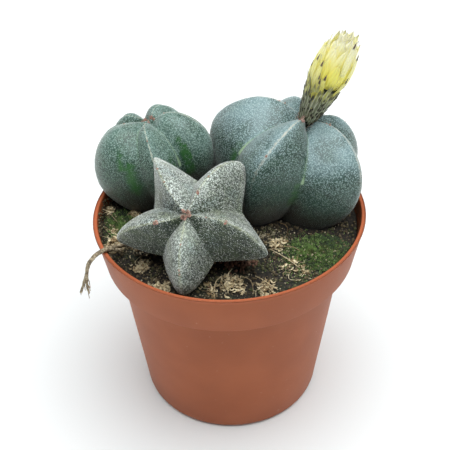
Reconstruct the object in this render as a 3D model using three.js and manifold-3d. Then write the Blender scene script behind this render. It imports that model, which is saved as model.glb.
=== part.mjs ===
// Three bishop's cap cacti growing together in a plastic nursery pot, one of them in flower.
// Millimetres, +Z up. The origin is on the pot's axis, on the surface that the pot stands on,
// and -Y is the side that the tilted star-shaped plant faces.
import * as THREE from "three";
import { mergeVertices } from "three/addons/utils/BufferGeometryUtils.js";
import Module from "manifold-3d";

const wasm = await Module();
wasm.setup();
const radians = THREE.MathUtils.degToRad;
const point = (x, y, z) => new THREE.Vector3(x, y, z);

// Clearance between neighbours that touch
const SEAT = 0.3;

// Pot
const POT_HEIGHT = 99;
const RIM_RADIUS = 60;
const LIP_WIDTH = 1.7;
const LIP_EDGE = 0.5;
const COLLAR_HEIGHT = 20;
const COLLAR_EDGE = 0.7;
const COLLAR_FOOT_RADIUS = 56.5;
const WALL_TOP_RADIUS = 51.2;
const BASE_RADIUS = 42;
const BASE_CORNER = 3;
const WALL = 1.2;
const FLOOR_RECESS = 1.2;
const FLOOR_THICKNESS = 1.2;
const PAD_RADIUS = 9;
const RECESS_SLOPE = 0.8;
const FLOOR_CORNER = 1.5;
const FOOT_RING_INNER = 35;
const POT_SEGMENTS = 48;
const SQUEEZE = 0.016;
const SQUEEZE_TOWARDS = radians(45);
const DRAIN_HOLES = 6;
const DRAIN_HOLE_RADIUS = 3.2;
const DRAIN_CIRCLE = 24;
const ARCHES = 6;
const ARCH_WIDTH = 15;
const ARCH_HEIGHT = 1.7;
const FIRST_ARCH_AT = radians(-83);
const COLLAR_FOOT = POT_HEIGHT - COLLAR_HEIGHT;
const FLOOR_TOP = FLOOR_RECESS + FLOOR_THICKNESS;

// Soil
const SOIL_LEVEL = 91.5;
const SOIL_DOME = 2.2;
const SOIL_RINGS = 5;
const SOIL_SEGMENTS = 40;
const COVER_CLEARANCE = 1.2;

// Cactus bodies: sizes in millimetres, rib directions and leans in degrees. reach is how far a rib
// stands out beside the others, sway how far its upper half is bent sideways, blunt how wide its
// round nose is as a share of a face, and areole where its woolly tuft sits, from 0 at the crown to
// 1 at the root, as crownWool does for the tufts round the crown. fullness gives the ribs' swelling
// above and below the widest place, and a roundness under 2 makes them pointed there. depth and
// bulge are shares of the radius: how deep the furrows are and how far the faces swell. furrows
// holds the furrows that differ, by the number of the rib before them: where they lie between the
// two ribs, their depth beside the others, and the bulges of the faces on both sides. crown is how
// far the middle of the top is off the axis, in millimetres, and crownWidth how far down that shows.
const FACE_STEPS = 4;
const RIB_SHARPNESS = 1.3;
const BODY_ROWS = 15;
const RIM_GAP = 1.2;
const SWELL_OVER_RIM = 1.1;
const AREOLE_RADIUS = 1.15;
const CROWN_TUFT_RADIUS = 1.5;

const STAR = {
  name: "cactus_front",
  root: point(-11.7, -13.7, 88),
  lean: 31,
  towards: 255,
  ribs: [
    { at: 50, reach: 1.0, sway: 2.0, blunt: 0.3, areole: 0.05 },
    { at: 115, reach: 1.06, sway: 1.8, blunt: 0.1, areole: 0.34 },
    { at: 184, reach: 0.95, sway: 2.4, blunt: 0.15, areole: 0.1 },
    { at: 259, reach: 0.86, sway: 0, blunt: 0.12, areole: 0.3 },
    { at: 333, reach: 0.98, sway: 2.0, blunt: 0.1, areole: 0.15 },
  ],
  furrows: {
    1: { at: 0.5, depth: 1.05, bulges: [-0.02, 0.07] },
    2: { at: 0.5, depth: 0.92, bulges: [0.02, 0.08] },
    3: { at: 0.5, depth: 0.92, bulges: [0.08, 0.02] },
    4: { at: 0.5, depth: 0.88, bulges: [0, 0] },
  },
  radius: 34.1,
  middle: 26.7,
  top: 20.6,
  bottom: 25.2,
  fullness: [0.36, 0.57],
  roundness: 1.35,
  depth: 0.43,
  bulge: 0.02,
  dip: 2.6,
  dipWidth: 0.24,
  crown: [0.2, -1.8],
  crownWidth: 0.2,
  crownWool: 0.006,
  colour: 0x8f9a8b,
};

const LEFT = {
  name: "cactus_left",
  root: point(-26.6, 18.9, 86),
  lean: 17,
  towards: 147,
  ribs: [
    { at: 60, reach: 0.94, sway: 0, blunt: 0.1, areole: 0.2 },
    { at: 140, reach: 0.9, sway: 0, blunt: 0.1, areole: 0.22 },
    { at: 191, reach: 1.02, sway: 0, blunt: 0.1, areole: 0.19 },
    { at: 278, reach: 0.98, sway: 0, blunt: 0.08, areole: 0.26 },
    { at: 355, reach: 1.02, sway: 0, blunt: 0.1, areole: 0.2 },
  ],
  furrows: {
    2: { at: 0.8, depth: 0.5, bulges: [0.2, 0.03] },
    3: { at: 0.42, depth: 0.95, bulges: [0.03, 0.18] },
    4: { at: 0.4, depth: 1.4, bulges: [0.18, 0.18] },
  },
  radius: 26.9,
  middle: 27,
  top: 23,
  bottom: 27.8,
  fullness: [0.51, 0.76],
  roundness: 2,
  depth: 0.32,
  bulge: 0.24,
  dip: 5.5,
  dipWidth: 0.36,
  crown: [2.3, 0.3],
  crownWidth: 0.08,
  crownWool: 0.03,
  colour: 0x566f62,
};

const RIGHT = {
  name: "cactus_right",
  root: point(20, 11.9, 86),
  lean: 18,
  towards: 24,
  ribs: [
    { at: 22, reach: 0.9, sway: 0, blunt: 0.08, areole: 0.24 },
    { at: 98, reach: 1.01, sway: 0, blunt: 0.08, areole: 0.25 },
    { at: 154, reach: 1.09, sway: 0, blunt: 0.08, areole: 0.16 },
    { at: 236, reach: 0.97, sway: 1.6, blunt: 0.08, areole: 0.3 },
    { at: 322, reach: 0.96, sway: 0, blunt: 0.08, areole: 0.17 },
  ],
  furrows: {
    2: { at: 0.64, depth: 1, bulges: [0.11, 0.08] },
    3: { at: 0.44, depth: 1, bulges: [0.08, 0.11] },
  },
  radius: 36.9,
  middle: 29.8,
  top: 29.8,
  bottom: 33.7,
  fullness: [0.74, 0.51],
  roundness: 2,
  depth: 0.32,
  bulge: 0.11,
  dip: 10.4,
  dipWidth: 0.46,
  crown: [0, 0],
  crownWidth: 0.08,
  crownWool: 0.045,
  colour: 0x5c7568,
};

// Flower on the right-hand plant's crown. Heights are along the flower's own axis.
const FLOWER_LEAN = 21;
const FLOWER_TOWARDS = 5;
const FLOWER_LENGTH = 45;
const TUBE_LENGTH = 20;
const TUBE_SUNK = 4;
const TUBE_FOOT_RADIUS = 3.3;
const TUBE_MOUTH_RADIUS = 7.3;
const TUBE_SEGMENTS = 16;
const CUP_WALL = 1.1;
const CUP_DEPTH = 8;
const SCALE_RINGS = 4;
const SCALES_IN_RING = 8;
const SCALE_LENGTH = 9;
const SCALE_THICKNESS = 0.7;
const LOWEST_SCALES_AT = 1.5;
const BLOOM_RADIUS = 8.6;
const BLOOM_OPENING = 9;
const PETAL_LAYERS = [
  { count: 8, share: 1, width: 7.4, tip: FLOWER_LENGTH - 1.5 },
  { count: 6, share: 0.62, width: 6.8, tip: FLOWER_LENGTH },
];
const PETAL_ROOT = 14;
const PETAL_FOOT_IN = 2.2;
const PETAL_THICKNESS = 0.9;

// Litter: each clump's centre, how far its strands reach, how many there are and how far they rise
const LITTER = [
  { name: "litter_left", at: [-54, 8], reach: 4.5, strands: 6, rise: 6 },
  { name: "litter_left_front", at: [-50, -16], reach: 6.5, strands: 6, rise: 2.6 },
  { name: "litter_front_left", at: [-28.5, -44.5], reach: 7, strands: 7, rise: 3.6 },
  { name: "litter_front", at: [0, -42], reach: 8, strands: 8, rise: 3.4 },
  { name: "litter_right", at: [20.5, -20], reach: 6, strands: 6, rise: 2.8 },
];
const STRAND_RADIUS = 0.65;
const CLUMP_HEART_RADIUS = 1.6;
const ROOT_RADIUS = 0.75;

// Moss cushions: centre, radii along X and Y, and thickness
const MOSS = [
  { name: "moss_right", at: [39, -23.5], radii: [14.5, 12.5], thickness: 1.8, colour: 0x3f6f1f },
  { name: "moss_left", at: [-46, 0], radii: [9, 11], thickness: 1.6, colour: 0x2f5a24 },
];

// Random draws in a fixed order, from the Lehmer generator
function drawsFrom(seed) {
  let state = seed;
  return () => {
    state = (state * 48271) % 2147483647;
    return state / 2147483647;
  };
}

// A closed geometry as a manifold-3d solid, whichever way its faces were listed.
function toSolid(geometry) {
  const bare = geometry.clone();
  bare.deleteAttribute("normal");
  bare.deleteAttribute("uv");
  const merged = mergeVertices(bare, 1e-4);
  const vertProperties = new Float32Array(merged.attributes.position.array);
  const triVerts = new Uint32Array(merged.index.array);
  const solid = new wasm.Manifold(new wasm.Mesh({ numProp: 3, vertProperties, triVerts }));
  if (solid.volume() > 0) return solid;
  for (let i = 0; i < triVerts.length; i += 3) {
    [triVerts[i + 1], triVerts[i + 2]] = [triVerts[i + 2], triVerts[i + 1]];
  }
  return new wasm.Manifold(new wasm.Mesh({ numProp: 3, vertProperties, triVerts }));
}

function toGeometry(solid) {
  const mesh = solid.getMesh();
  const positions = new THREE.BufferAttribute(new Float32Array(mesh.vertProperties), 3);
  const geometry = new THREE.BufferGeometry().setAttribute("position", positions);
  geometry.setIndex(new THREE.BufferAttribute(new Uint32Array(mesh.triVerts), 1));
  geometry.computeVertexNormals();
  return geometry;
}

const joined = (solids) => solids.reduce((whole, solid) => whole.add(solid));

// The largest connected body of a solid, without the scraps that a cut leaves.
function largest(solid) {
  const bodies = solid.decompose();
  return bodies.reduce((best, body) => (body.volume() > best.volume() ? body : best));
}

function named(name, solid, colour, roughness) {
  const material = new THREE.MeshStandardMaterial({ color: colour, roughness, metalness: 0 });
  const mesh = new THREE.Mesh(toGeometry(solid), material);
  mesh.name = name;
  return mesh;
}

function reshape(geometry, move) {
  const position = geometry.attributes.position;
  const vertex = new THREE.Vector3();
  for (let i = 0; i < position.count; i++) {
    move(vertex.fromBufferAttribute(position, i), i);
    position.setXYZ(i, ...vertex);
  }
  return geometry;
}

// The pot's thin rim is pressed a little out of round, and more so towards the top.
const squeezeAt = (x, y, z) =>
  1 + SQUEEZE * (z / POT_HEIGHT) * Math.cos(2 * (Math.atan2(y, x) - SQUEEZE_TOWARDS));

function squeezed(geometry) {
  return reshape(geometry, (vertex) => {
    const factor = squeezeAt(vertex.x, vertex.y, vertex.z);
    vertex.x *= factor;
    vertex.y *= factor;
  });
}

// A turned shape about +Z from a profile of [radius, height] points.
function turned(profile, segments) {
  const points = profile.map(([r, z]) => new THREE.Vector2(r, z));
  return new THREE.LatheGeometry(points, segments).rotateX(Math.PI / 2);
}

// A round rod along a smooth line through a few points.
function rod(points, radius, steps) {
  const outline = new THREE.Shape();
  outline.absarc(0, 0, radius, 0, 2 * Math.PI);
  const options = { steps, curveSegments: 3, extrudePath: new THREE.CatmullRomCurve3(points) };
  return toSolid(new THREE.ExtrudeGeometry(outline, options));
}

function innerCollarRadius(z) {
  const share = (z - COLLAR_FOOT - WALL) / (COLLAR_HEIGHT - WALL);
  return THREE.MathUtils.lerp(COLLAR_FOOT_RADIUS - WALL, RIM_RADIUS - LIP_WIDTH, share);
}

function potSolid() {
  const corner = BASE_CORNER * (1 - Math.SQRT1_2);
  const profile = [
    [0, 0],
    [PAD_RADIUS, 0],
    [PAD_RADIUS + RECESS_SLOPE, FLOOR_RECESS],
    [FOOT_RING_INNER - RECESS_SLOPE, FLOOR_RECESS],
    [FOOT_RING_INNER, 0],
    [BASE_RADIUS - BASE_CORNER, 0],
    [BASE_RADIUS - corner, corner],
    [BASE_RADIUS, BASE_CORNER],
    [WALL_TOP_RADIUS, COLLAR_FOOT],
    [COLLAR_FOOT_RADIUS - COLLAR_EDGE, COLLAR_FOOT],
    [COLLAR_FOOT_RADIUS, COLLAR_FOOT + COLLAR_EDGE],
    [RIM_RADIUS, POT_HEIGHT - LIP_EDGE],
    [RIM_RADIUS - LIP_EDGE, POT_HEIGHT],
    [RIM_RADIUS - LIP_WIDTH + LIP_EDGE, POT_HEIGHT],
    [RIM_RADIUS - LIP_WIDTH, POT_HEIGHT - LIP_EDGE],
    [COLLAR_FOOT_RADIUS - WALL, COLLAR_FOOT + WALL],
    [WALL_TOP_RADIUS - WALL, COLLAR_FOOT + WALL],
    [BASE_RADIUS - WALL, BASE_CORNER + WALL],
    [BASE_RADIUS - WALL - FLOOR_CORNER, FLOOR_TOP],
    [0, FLOOR_TOP],
  ];
  let pot = toSolid(squeezed(turned(profile, POT_SEGMENTS)));
  for (let i = 0; i < DRAIN_HOLES; i++) {
    const angle = FIRST_ARCH_AT + ((i + 0.5) / DRAIN_HOLES) * 2 * Math.PI;
    const hole = new THREE.CylinderGeometry(DRAIN_HOLE_RADIUS, DRAIN_HOLE_RADIUS, 4 * FLOOR_TOP, 12);
    hole.rotateX(Math.PI / 2);
    hole.translate(DRAIN_CIRCLE * Math.cos(angle), DRAIN_CIRCLE * Math.sin(angle), FLOOR_TOP);
    pot = pot.subtract(toSolid(hole));
  }
  for (let i = 0; i < ARCHES; i++) {
    const angle = FIRST_ARCH_AT + (i / ARCHES) * 2 * Math.PI;
    const arch = new THREE.CylinderGeometry(1, 1, 2 * (BASE_RADIUS - FOOT_RING_INNER), 14);
    arch.rotateZ(Math.PI / 2);
    arch.scale(1, ARCH_WIDTH / 2, ARCH_HEIGHT);
    arch.translate(BASE_RADIUS, 0, 0);
    arch.rotateZ(angle);
    pot = pot.subtract(toSolid(arch));
  }
  return pot;
}

// Height of the soil's surface: a low dome with small lumps.
function soilHeight(x, y) {
  const share = Math.min(1, Math.hypot(x, y) / innerCollarRadius(SOIL_LEVEL));
  const lumps =
    0.55 * Math.sin(x * 0.21 + 1.3) * Math.cos(y * 0.24 - 0.4) +
    0.35 * Math.sin(x * 0.47 - y * 0.39 + 2.1);
  return SOIL_LEVEL + SOIL_DOME * (1 - share * share) + lumps;
}

// The plug of soil. A raised and so wider copy cuts what lies on it.
function soilSolid(raised) {
  const edge = innerCollarRadius(SOIL_LEVEL) - SEAT + (raised > 0 ? COVER_CLEARANCE : 0);
  const rings = [];
  for (let i = 0; i < SOIL_RINGS; i++) rings.push([edge * (1 - i / SOIL_RINGS), SOIL_LEVEL]);
  const profile = [
    [0, FLOOR_TOP + SEAT],
    [BASE_RADIUS - WALL - FLOOR_CORNER - SEAT, FLOOR_TOP + SEAT],
    [BASE_RADIUS - WALL - SEAT, BASE_CORNER + WALL],
    [WALL_TOP_RADIUS - WALL - SEAT, COLLAR_FOOT + WALL],
    [COLLAR_FOOT_RADIUS - WALL - 2 * SEAT, COLLAR_FOOT + WALL + SEAT],
    ...rings,
    [0, SOIL_LEVEL],
  ];
  const geometry = turned(profile, SOIL_SEGMENTS);
  reshape(geometry, (vertex) => {
    if (vertex.z > SOIL_LEVEL - 1) vertex.z = soilHeight(vertex.x, vertex.y) + raised;
  });
  return toSolid(squeezed(geometry));
}

// The rib that a column is on, the one on the far side of the furrow, how far across the face between
// them the column is, and the furrow as seen from this rib. Columns run from a rib over its face to
// the furrow, and on up the next rib's face.
function faceAt(plant, column) {
  const perRib = 2 * FACE_STEPS;
  const rib = Math.floor(column / perRib);
  const step = column % perRib;
  const onward = step <= FACE_STEPS;
  const here = plant.ribs[rib];
  const next = plant.ribs[(rib + 1) % plant.ribs.length];
  const share = Math.pow((onward ? step : perRib - step) / FACE_STEPS, RIB_SHARPNESS);
  const furrow = plant.furrows[rib] ?? { at: 0.5, depth: 1, bulges: [plant.bulge, plant.bulge] };
  const face = { share, furrowDepth: furrow.depth };
  if (onward) return { ...face, near: here, far: next, furrowAt: furrow.at, bulge: furrow.bulges[0] };
  return { ...face, near: next, far: here, furrowAt: 1 - furrow.at, bulge: furrow.bulges[1] };
}

// One point of a cactus body that stands upright on its own axis. v runs from the crown at 0 to the
// root end at 1, and grow moves the surface outwards.
function bodyPoint(plant, column, v, grow) {
  const { near, far, share, furrowAt, furrowDepth, bulge } = faceAt(plant, column);
  const inward = (Math.hypot(share, near.blunt) - near.blunt) / (Math.hypot(1, near.blunt) - near.blunt);
  const turn = THREE.MathUtils.euclideanModulo(far.at - near.at + 180, 360) - 180;
  const sine = Math.max(0, Math.sin(Math.PI * v));
  const cosine = Math.cos(Math.PI * v);
  const upper = cosine > 0;
  const flatness = 1 - Math.pow(Math.abs(cosine), plant.roundness);
  const swell = Math.pow(Math.max(0, flatness), plant.fullness[upper ? 0 : 1]);
  const depth = plant.depth * furrowDepth * plant.radius * Math.pow(sine, 0.6);
  const dip = plant.dip * Math.exp(-Math.pow((Math.PI * v) / plant.dipWidth, 2));
  const height = plant.middle + (upper ? plant.top : plant.bottom) * cosine - dip;
  const furrowReach = (near.reach + far.reach) / 2;
  const furrowRadius = Math.max(0, plant.radius * furrowReach * swell - depth * sine);

  const sway = upper ? near.sway * 4 * swell * (1 - swell) : 0;
  const place = new THREE.Vector2(plant.radius * near.reach * swell, sway);
  const half = radians(turn * furrowAt);
  const along = new THREE.Vector2(Math.cos(half), Math.sin(half)).multiplyScalar(furrowRadius).sub(place);
  const outward = new THREE.Vector2(Math.abs(along.y), -along.x * Math.sign(turn));
  const puff = bulge * 4 * share * (1 - share);
  place.add(new THREE.Vector2(along.x * inward, along.y * share)).addScaledVector(outward, puff);

  const radius = place.length() + grow * sine;
  const angle = Math.atan2(place.y, place.x) + radians(near.at);
  const z = height - depth * cosine * inward + puff * along.length() * cosine + grow * cosine;
  const offAxis = Math.exp(-Math.pow(v / plant.crownWidth, 2));
  const x = radius * Math.cos(angle) + plant.crown[0] * offAxis;
  return point(x, radius * Math.sin(angle) + plant.crown[1] * offAxis, z);
}

// The turn and place that set something modelled upright so that it leans from its foot.
function leaning(foot, lean, towards) {
  const axis = point(-Math.sin(radians(towards)), Math.cos(radians(towards)), 0);
  const turn = new THREE.Quaternion().setFromAxisAngle(axis, radians(lean));
  return new THREE.Matrix4().compose(foot, turn, point(1, 1, 1));
}

// Where a plant pushes against the pot it is dented, and it swells again above the rim.
function dentedByRim(vertex) {
  const overRim = Math.max(0, vertex.z - POT_HEIGHT - RIM_GAP);
  const free = innerCollarRadius(Math.min(vertex.z, POT_HEIGHT)) - RIM_GAP + SWELL_OVER_RIM * overRim;
  const limit = free * squeezeAt(vertex.x, vertex.y, POT_HEIGHT);
  const radius = Math.hypot(vertex.x, vertex.y);
  if (radius <= limit) return;
  vertex.x *= limit / radius;
  vertex.y *= limit / radius;
}

function bodySolid(plant, grow) {
  const columns = plant.ribs.length * 2 * FACE_STEPS;
  const geometry = new THREE.SphereGeometry(1, columns, BODY_ROWS);
  reshape(geometry, (vertex, i) => {
    const row = Math.floor(i / (columns + 1));
    const column = (i % (columns + 1)) % columns;
    vertex.copy(bodyPoint(plant, column, row / BODY_ROWS, grow));
  });
  geometry.applyMatrix4(leaning(plant.root, plant.lean, plant.towards));
  return toSolid(reshape(geometry, dentedByRim));
}

function tuft(centre, radius) {
  return toSolid(new THREE.IcosahedronGeometry(radius, 0).translate(...centre));
}

// A whole plant: its ribbed body with the woolly tufts on the ribs and round the crown.
function cactusSolid(plant, grow) {
  const stand = leaning(plant.root, plant.lean, plant.towards);
  const pieces = [bodySolid(plant, grow)];
  plant.ribs.forEach((rib, i) => {
    const column = i * 2 * FACE_STEPS;
    const onRib = bodyPoint(plant, column, rib.areole, 0).applyMatrix4(stand);
    const atCrown = bodyPoint(plant, column, plant.crownWool, 0).applyMatrix4(stand);
    pieces.push(tuft(onRib, AREOLE_RADIUS + grow), tuft(atCrown, CROWN_TUFT_RADIUS + grow));
  });
  return joined(pieces);
}

// Radius of the flower's green tube at a height above its foot.
function tubeRadius(z) {
  const share = THREE.MathUtils.clamp(z / TUBE_LENGTH, 0, 1);
  return THREE.MathUtils.lerp(TUBE_FOOT_RADIUS, TUBE_MOUTH_RADIUS, Math.pow(share, 0.9));
}

// The green tube: a funnel with a cup for the petals, covered with rings of pointed scales.
function flowerTube(stand) {
  const profile = [[0, -TUBE_SUNK], [0.8 * TUBE_FOOT_RADIUS, -TUBE_SUNK]];
  for (const z of [0, 0.25, 0.5, 0.75, 1].map((share) => share * TUBE_LENGTH)) {
    profile.push([tubeRadius(z), z]);
  }
  const cupFloor = TUBE_LENGTH - CUP_DEPTH;
  profile.push([TUBE_MOUTH_RADIUS - CUP_WALL, TUBE_LENGTH]);
  profile.push([tubeRadius(cupFloor) - CUP_WALL, cupFloor]);
  profile.push([0, cupFloor]);
  const pieces = [toSolid(turned(profile, TUBE_SEGMENTS))];
  const flare = Math.atan2(TUBE_MOUTH_RADIUS - TUBE_FOOT_RADIUS, TUBE_LENGTH);
  for (let ring = 0; ring < SCALE_RINGS; ring++) {
    const z = THREE.MathUtils.lerp(LOWEST_SCALES_AT, TUBE_LENGTH, ring / SCALE_RINGS);
    const halfWidth = THREE.MathUtils.lerp(1.3, 2.1, ring / SCALE_RINGS);
    for (let i = 0; i < SCALES_IN_RING; i++) {
      const angle = ((i + 0.5 * (ring % 2)) / SCALES_IN_RING) * 2 * Math.PI;
      const scale = new THREE.ConeGeometry(1, SCALE_LENGTH, 4).rotateX(Math.PI / 2);
      scale.scale(SCALE_THICKNESS, halfWidth, 1).translate(0, 0, SCALE_LENGTH / 2);
      scale.rotateY(flare).translate(tubeRadius(z) - SCALE_THICKNESS / 2, 0, z);
      pieces.push(toSolid(scale.rotateZ(angle)));
    }
  }
  return joined(pieces).transform(stand.elements);
}

// Distance of a petal's middle line from the flower's axis: it rises out of the cup, swells over the
// tube's mouth and runs on nearly straight.
function petalOut(share, z) {
  const inCup = TUBE_MOUTH_RADIUS - CUP_WALL - 2 * SEAT - PETAL_THICKNESS / 2;
  const opening = THREE.MathUtils.smoothstep(z, TUBE_LENGTH, TUBE_LENGTH + BLOOM_OPENING);
  const below = THREE.MathUtils.clamp((TUBE_LENGTH - z) / CUP_DEPTH, 0, 1);
  return share * (THREE.MathUtils.lerp(inCup, BLOOM_RADIUS, opening) - PETAL_FOOT_IN * below);
}

// The half-closed yellow bloom: two layers of petals round a core that stands in the tube's cup.
function flowerPetals(stand) {
  const cupFloor = TUBE_LENGTH - CUP_DEPTH;
  const coreFoot = tubeRadius(cupFloor) - CUP_WALL - SEAT;
  const coreNeck = TUBE_MOUTH_RADIUS - CUP_WALL - 2 * SEAT;
  const core = [
    [0, cupFloor + SEAT],
    [coreFoot - SEAT, cupFloor + SEAT],
    [coreNeck - SEAT, TUBE_LENGTH],
    [0.6 * BLOOM_RADIUS, TUBE_LENGTH + 8],
    [0.4 * BLOOM_RADIUS, FLOWER_LENGTH - 9],
    [0, FLOWER_LENGTH - 7],
  ];
  const pieces = [toSolid(turned(core, 12))];
  PETAL_LAYERS.forEach((layer, order) => {
    for (let i = 0; i < layer.count; i++) {
      const angle = ((i + 0.5 * order) / layer.count) * 2 * Math.PI;
      const petal = new THREE.SphereGeometry(1, 6, 7).rotateX(Math.PI / 2);
      reshape(petal, (vertex) => {
        const z = THREE.MathUtils.mapLinear(vertex.z, 1, -1, PETAL_ROOT, layer.tip);
        const across = (vertex.y * layer.width) / 2;
        const out = petalOut(layer.share, z) - (across * across) / (2 * BLOOM_RADIUS * layer.share);
        vertex.set(out + (vertex.x * PETAL_THICKNESS) / 2, across, z);
      });
      pieces.push(toSolid(petal.rotateZ(angle)));
    }
  });
  return joined(pieces).transform(stand.elements);
}

// Curled strands of dry litter that fan out from one place on the soil.
function litterSolid(clump, seed) {
  const draw = drawsFrom(seed);
  const [x, y] = clump.at;
  const pieces = [];
  for (let i = 0; i < clump.strands; i++) {
    const angle = ((i + draw()) / clump.strands) * 2 * Math.PI;
    const reach = clump.reach * (0.55 + 0.45 * draw());
    const rise = clump.rise * (0.4 + 0.6 * draw());
    const curl = 1.2 * (draw() - 0.5);
    const line = [];
    for (let step = 0; step < 4; step++) {
      const share = step / 3;
      const px = x + reach * share * Math.cos(angle + curl * share);
      const py = y + reach * share * Math.sin(angle + curl * share);
      const up = rise * Math.sin(2.6 * share) * (1 - 0.35 * share);
      line.push(point(px, py, soilHeight(px, py) + STRAND_RADIUS + up));
    }
    pieces.push(rod(line, STRAND_RADIUS, 3));
  }
  const heart = new THREE.IcosahedronGeometry(CLUMP_HEART_RADIUS, 0);
  pieces.push(toSolid(heart.translate(x, y, soilHeight(x, y) + CLUMP_HEART_RADIUS / 2)));
  return joined(pieces);
}

// A low cushion of moss that follows the soil, with a lumpy top and a wavy edge.
function mossSolid(cushion, grow) {
  const [x, y] = cushion.at;
  const geometry = new THREE.SphereGeometry(1, 20, 8).rotateX(Math.PI / 2);
  reshape(geometry, (vertex) => {
    const angle = Math.atan2(vertex.y, vertex.x);
    const wave = 1 + 0.1 * Math.sin(3 * angle + x) + 0.07 * Math.sin(7 * angle);
    const px = x + vertex.x * (cushion.radii[0] + grow) * wave;
    const py = y + vertex.y * (cushion.radii[1] + grow) * wave;
    const lumps = 0.35 * Math.sin(px * 0.9) * Math.cos(py * 1.1) * (1 - Math.hypot(vertex.x, vertex.y));
    vertex.set(px, py, soilHeight(px, py) + vertex.z * (cushion.thickness + grow) + lumps);
  });
  return toSolid(geometry);
}

// Dried strands that come out of the litter, cross the rim side by side and hang down outside the pot.
function rootSolid(grow) {
  const over = [point(-53.4, -28.6, 100.2), point(-57.5, -31.2, 98.6), point(-60.2, -31, 94)];
  const long = [
    point(-44.5, -18, 94.6),
    point(-49, -22.5, 96.8),
    ...over,
    point(-61.6, -30, 88),
    point(-63.4, -29.2, 82),
    point(-65.2, -28.8, 76.6),
  ];
  const short = [
    point(-46.5, -22.5, 94.8),
    point(-50, -25, 97.4),
    ...over.map((place) => place.clone().add(point(0.5, -0.6, 0.3))),
    point(-61.2, -30.6, 88),
    point(-62, -29.6, 81.5),
    point(-61.8, -28.6, 76),
  ];
  return joined([long, short].map((line) => rod(line, ROOT_RADIUS + grow, 14)));
}

const plants = [STAR, LEFT, RIGHT];
const room = new Map(plants.map((plant) => [plant, cactusSolid(plant, SEAT)]));
const roomForPlants = joined([...room.values()]);

// The star's back ribs and the left plant's nearest rib are pressed flat where they meet a neighbour.
const star = cactusSolid(STAR, 0).subtract(room.get(LEFT)).subtract(room.get(RIGHT));
const bodies = [star, cactusSolid(LEFT, 0).subtract(room.get(RIGHT)), cactusSolid(RIGHT, 0)];

// What lies on the soil stays clear of the soil, the plants and the pot's wall.
const wallTop = innerCollarRadius(POT_HEIGHT) - SEAT;
const wellProfile = [[0, COLLAR_FOOT], [innerCollarRadius(COLLAR_FOOT) - SEAT, COLLAR_FOOT]];
wellProfile.push([wallTop, POT_HEIGHT], [wallTop, 2 * POT_HEIGHT], [0, 2 * POT_HEIGHT]);
const well = toSolid(squeezed(turned(wellProfile, POT_SEGMENTS)));
const ground = soilSolid(SEAT);
const onSoil = (solid) => largest(solid.intersect(well).subtract(ground).subtract(roomForPlants));
const roomForMossAndRoot = joined([...MOSS.map((cushion) => mossSolid(cushion, SEAT)), rootSolid(SEAT)]);

const crown = bodyPoint(RIGHT, 0, 0, 0).applyMatrix4(leaning(RIGHT.root, RIGHT.lean, RIGHT.towards));
const flowerStand = leaning(crown, FLOWER_LEAN, FLOWER_TOWARDS);

const object = new THREE.Group();
object.add(named("pot", potSolid(), 0xa5603f, 0.45));
object.add(named("soil", soilSolid(0).subtract(roomForPlants), 0x2b241d, 0.95));
plants.forEach((plant, i) => object.add(named(plant.name, bodies[i], plant.colour, 0.8)));
const tube = largest(flowerTube(flowerStand).subtract(room.get(RIGHT)));
object.add(named("flower_tube", tube, 0x7d7f52, 0.8));
object.add(named("flower_petals", flowerPetals(flowerStand), 0xe6dd63, 0.6));
object.add(named("dry_root", rootSolid(0), 0x9a8c72, 0.9));
for (const [i, clump] of LITTER.entries()) {
  const strands = largest(onSoil(litterSolid(clump, i + 11)).subtract(roomForMossAndRoot));
  object.add(named(clump.name, strands, 0xbfa477, 0.9));
}
for (const cushion of MOSS) {
  object.add(named(cushion.name, onSoil(mossSolid(cushion, 0)), cushion.colour, 1));
}

export default object;
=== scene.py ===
# %% [markdown]
# # Three bishop's cap cacti in a nursery pot
#
# Three plants of one spineless cactus share a plastic pot: a pale star that leans forward, a rounder
# green one behind it on the left, and a large one at the back right with a yellow flower. This
# notebook loads the finished construction model as a fixed frame and builds the visible surfaces
# round it. Everything is thought of in millimetres, as on a gardener's ruler, and each piece is
# scaled to Blender's metres only when it is finished, so the numbers below can be read as real sizes.

import math
import random

import bmesh
import bpy
from mathutils import Matrix, Quaternion, Vector, noise
from mathutils.bvhtree import BVHTree


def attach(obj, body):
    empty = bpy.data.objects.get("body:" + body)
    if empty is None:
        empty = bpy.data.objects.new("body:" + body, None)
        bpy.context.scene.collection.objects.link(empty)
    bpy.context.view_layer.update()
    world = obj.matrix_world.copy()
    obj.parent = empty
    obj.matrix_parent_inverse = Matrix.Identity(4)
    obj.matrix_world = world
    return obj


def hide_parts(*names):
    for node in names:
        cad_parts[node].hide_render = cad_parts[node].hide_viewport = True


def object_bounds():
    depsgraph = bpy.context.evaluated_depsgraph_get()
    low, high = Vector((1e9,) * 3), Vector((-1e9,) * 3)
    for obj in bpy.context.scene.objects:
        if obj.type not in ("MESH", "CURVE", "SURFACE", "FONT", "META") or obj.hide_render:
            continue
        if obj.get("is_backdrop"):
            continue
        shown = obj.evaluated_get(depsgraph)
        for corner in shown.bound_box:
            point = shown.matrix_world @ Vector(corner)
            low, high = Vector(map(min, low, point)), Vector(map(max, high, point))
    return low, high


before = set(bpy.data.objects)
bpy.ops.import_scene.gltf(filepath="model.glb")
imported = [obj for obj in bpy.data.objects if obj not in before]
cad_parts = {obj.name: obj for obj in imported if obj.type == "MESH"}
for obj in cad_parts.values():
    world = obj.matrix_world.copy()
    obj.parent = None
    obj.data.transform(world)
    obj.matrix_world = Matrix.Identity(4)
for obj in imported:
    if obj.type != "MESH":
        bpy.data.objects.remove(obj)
cad_low, cad_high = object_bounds()
MM = 0.001
# Blender starts noise_vector from the clock, and a seed makes every run alike.
noise.seed_set(1)
print("frame nodes:", sorted(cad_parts))

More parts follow.
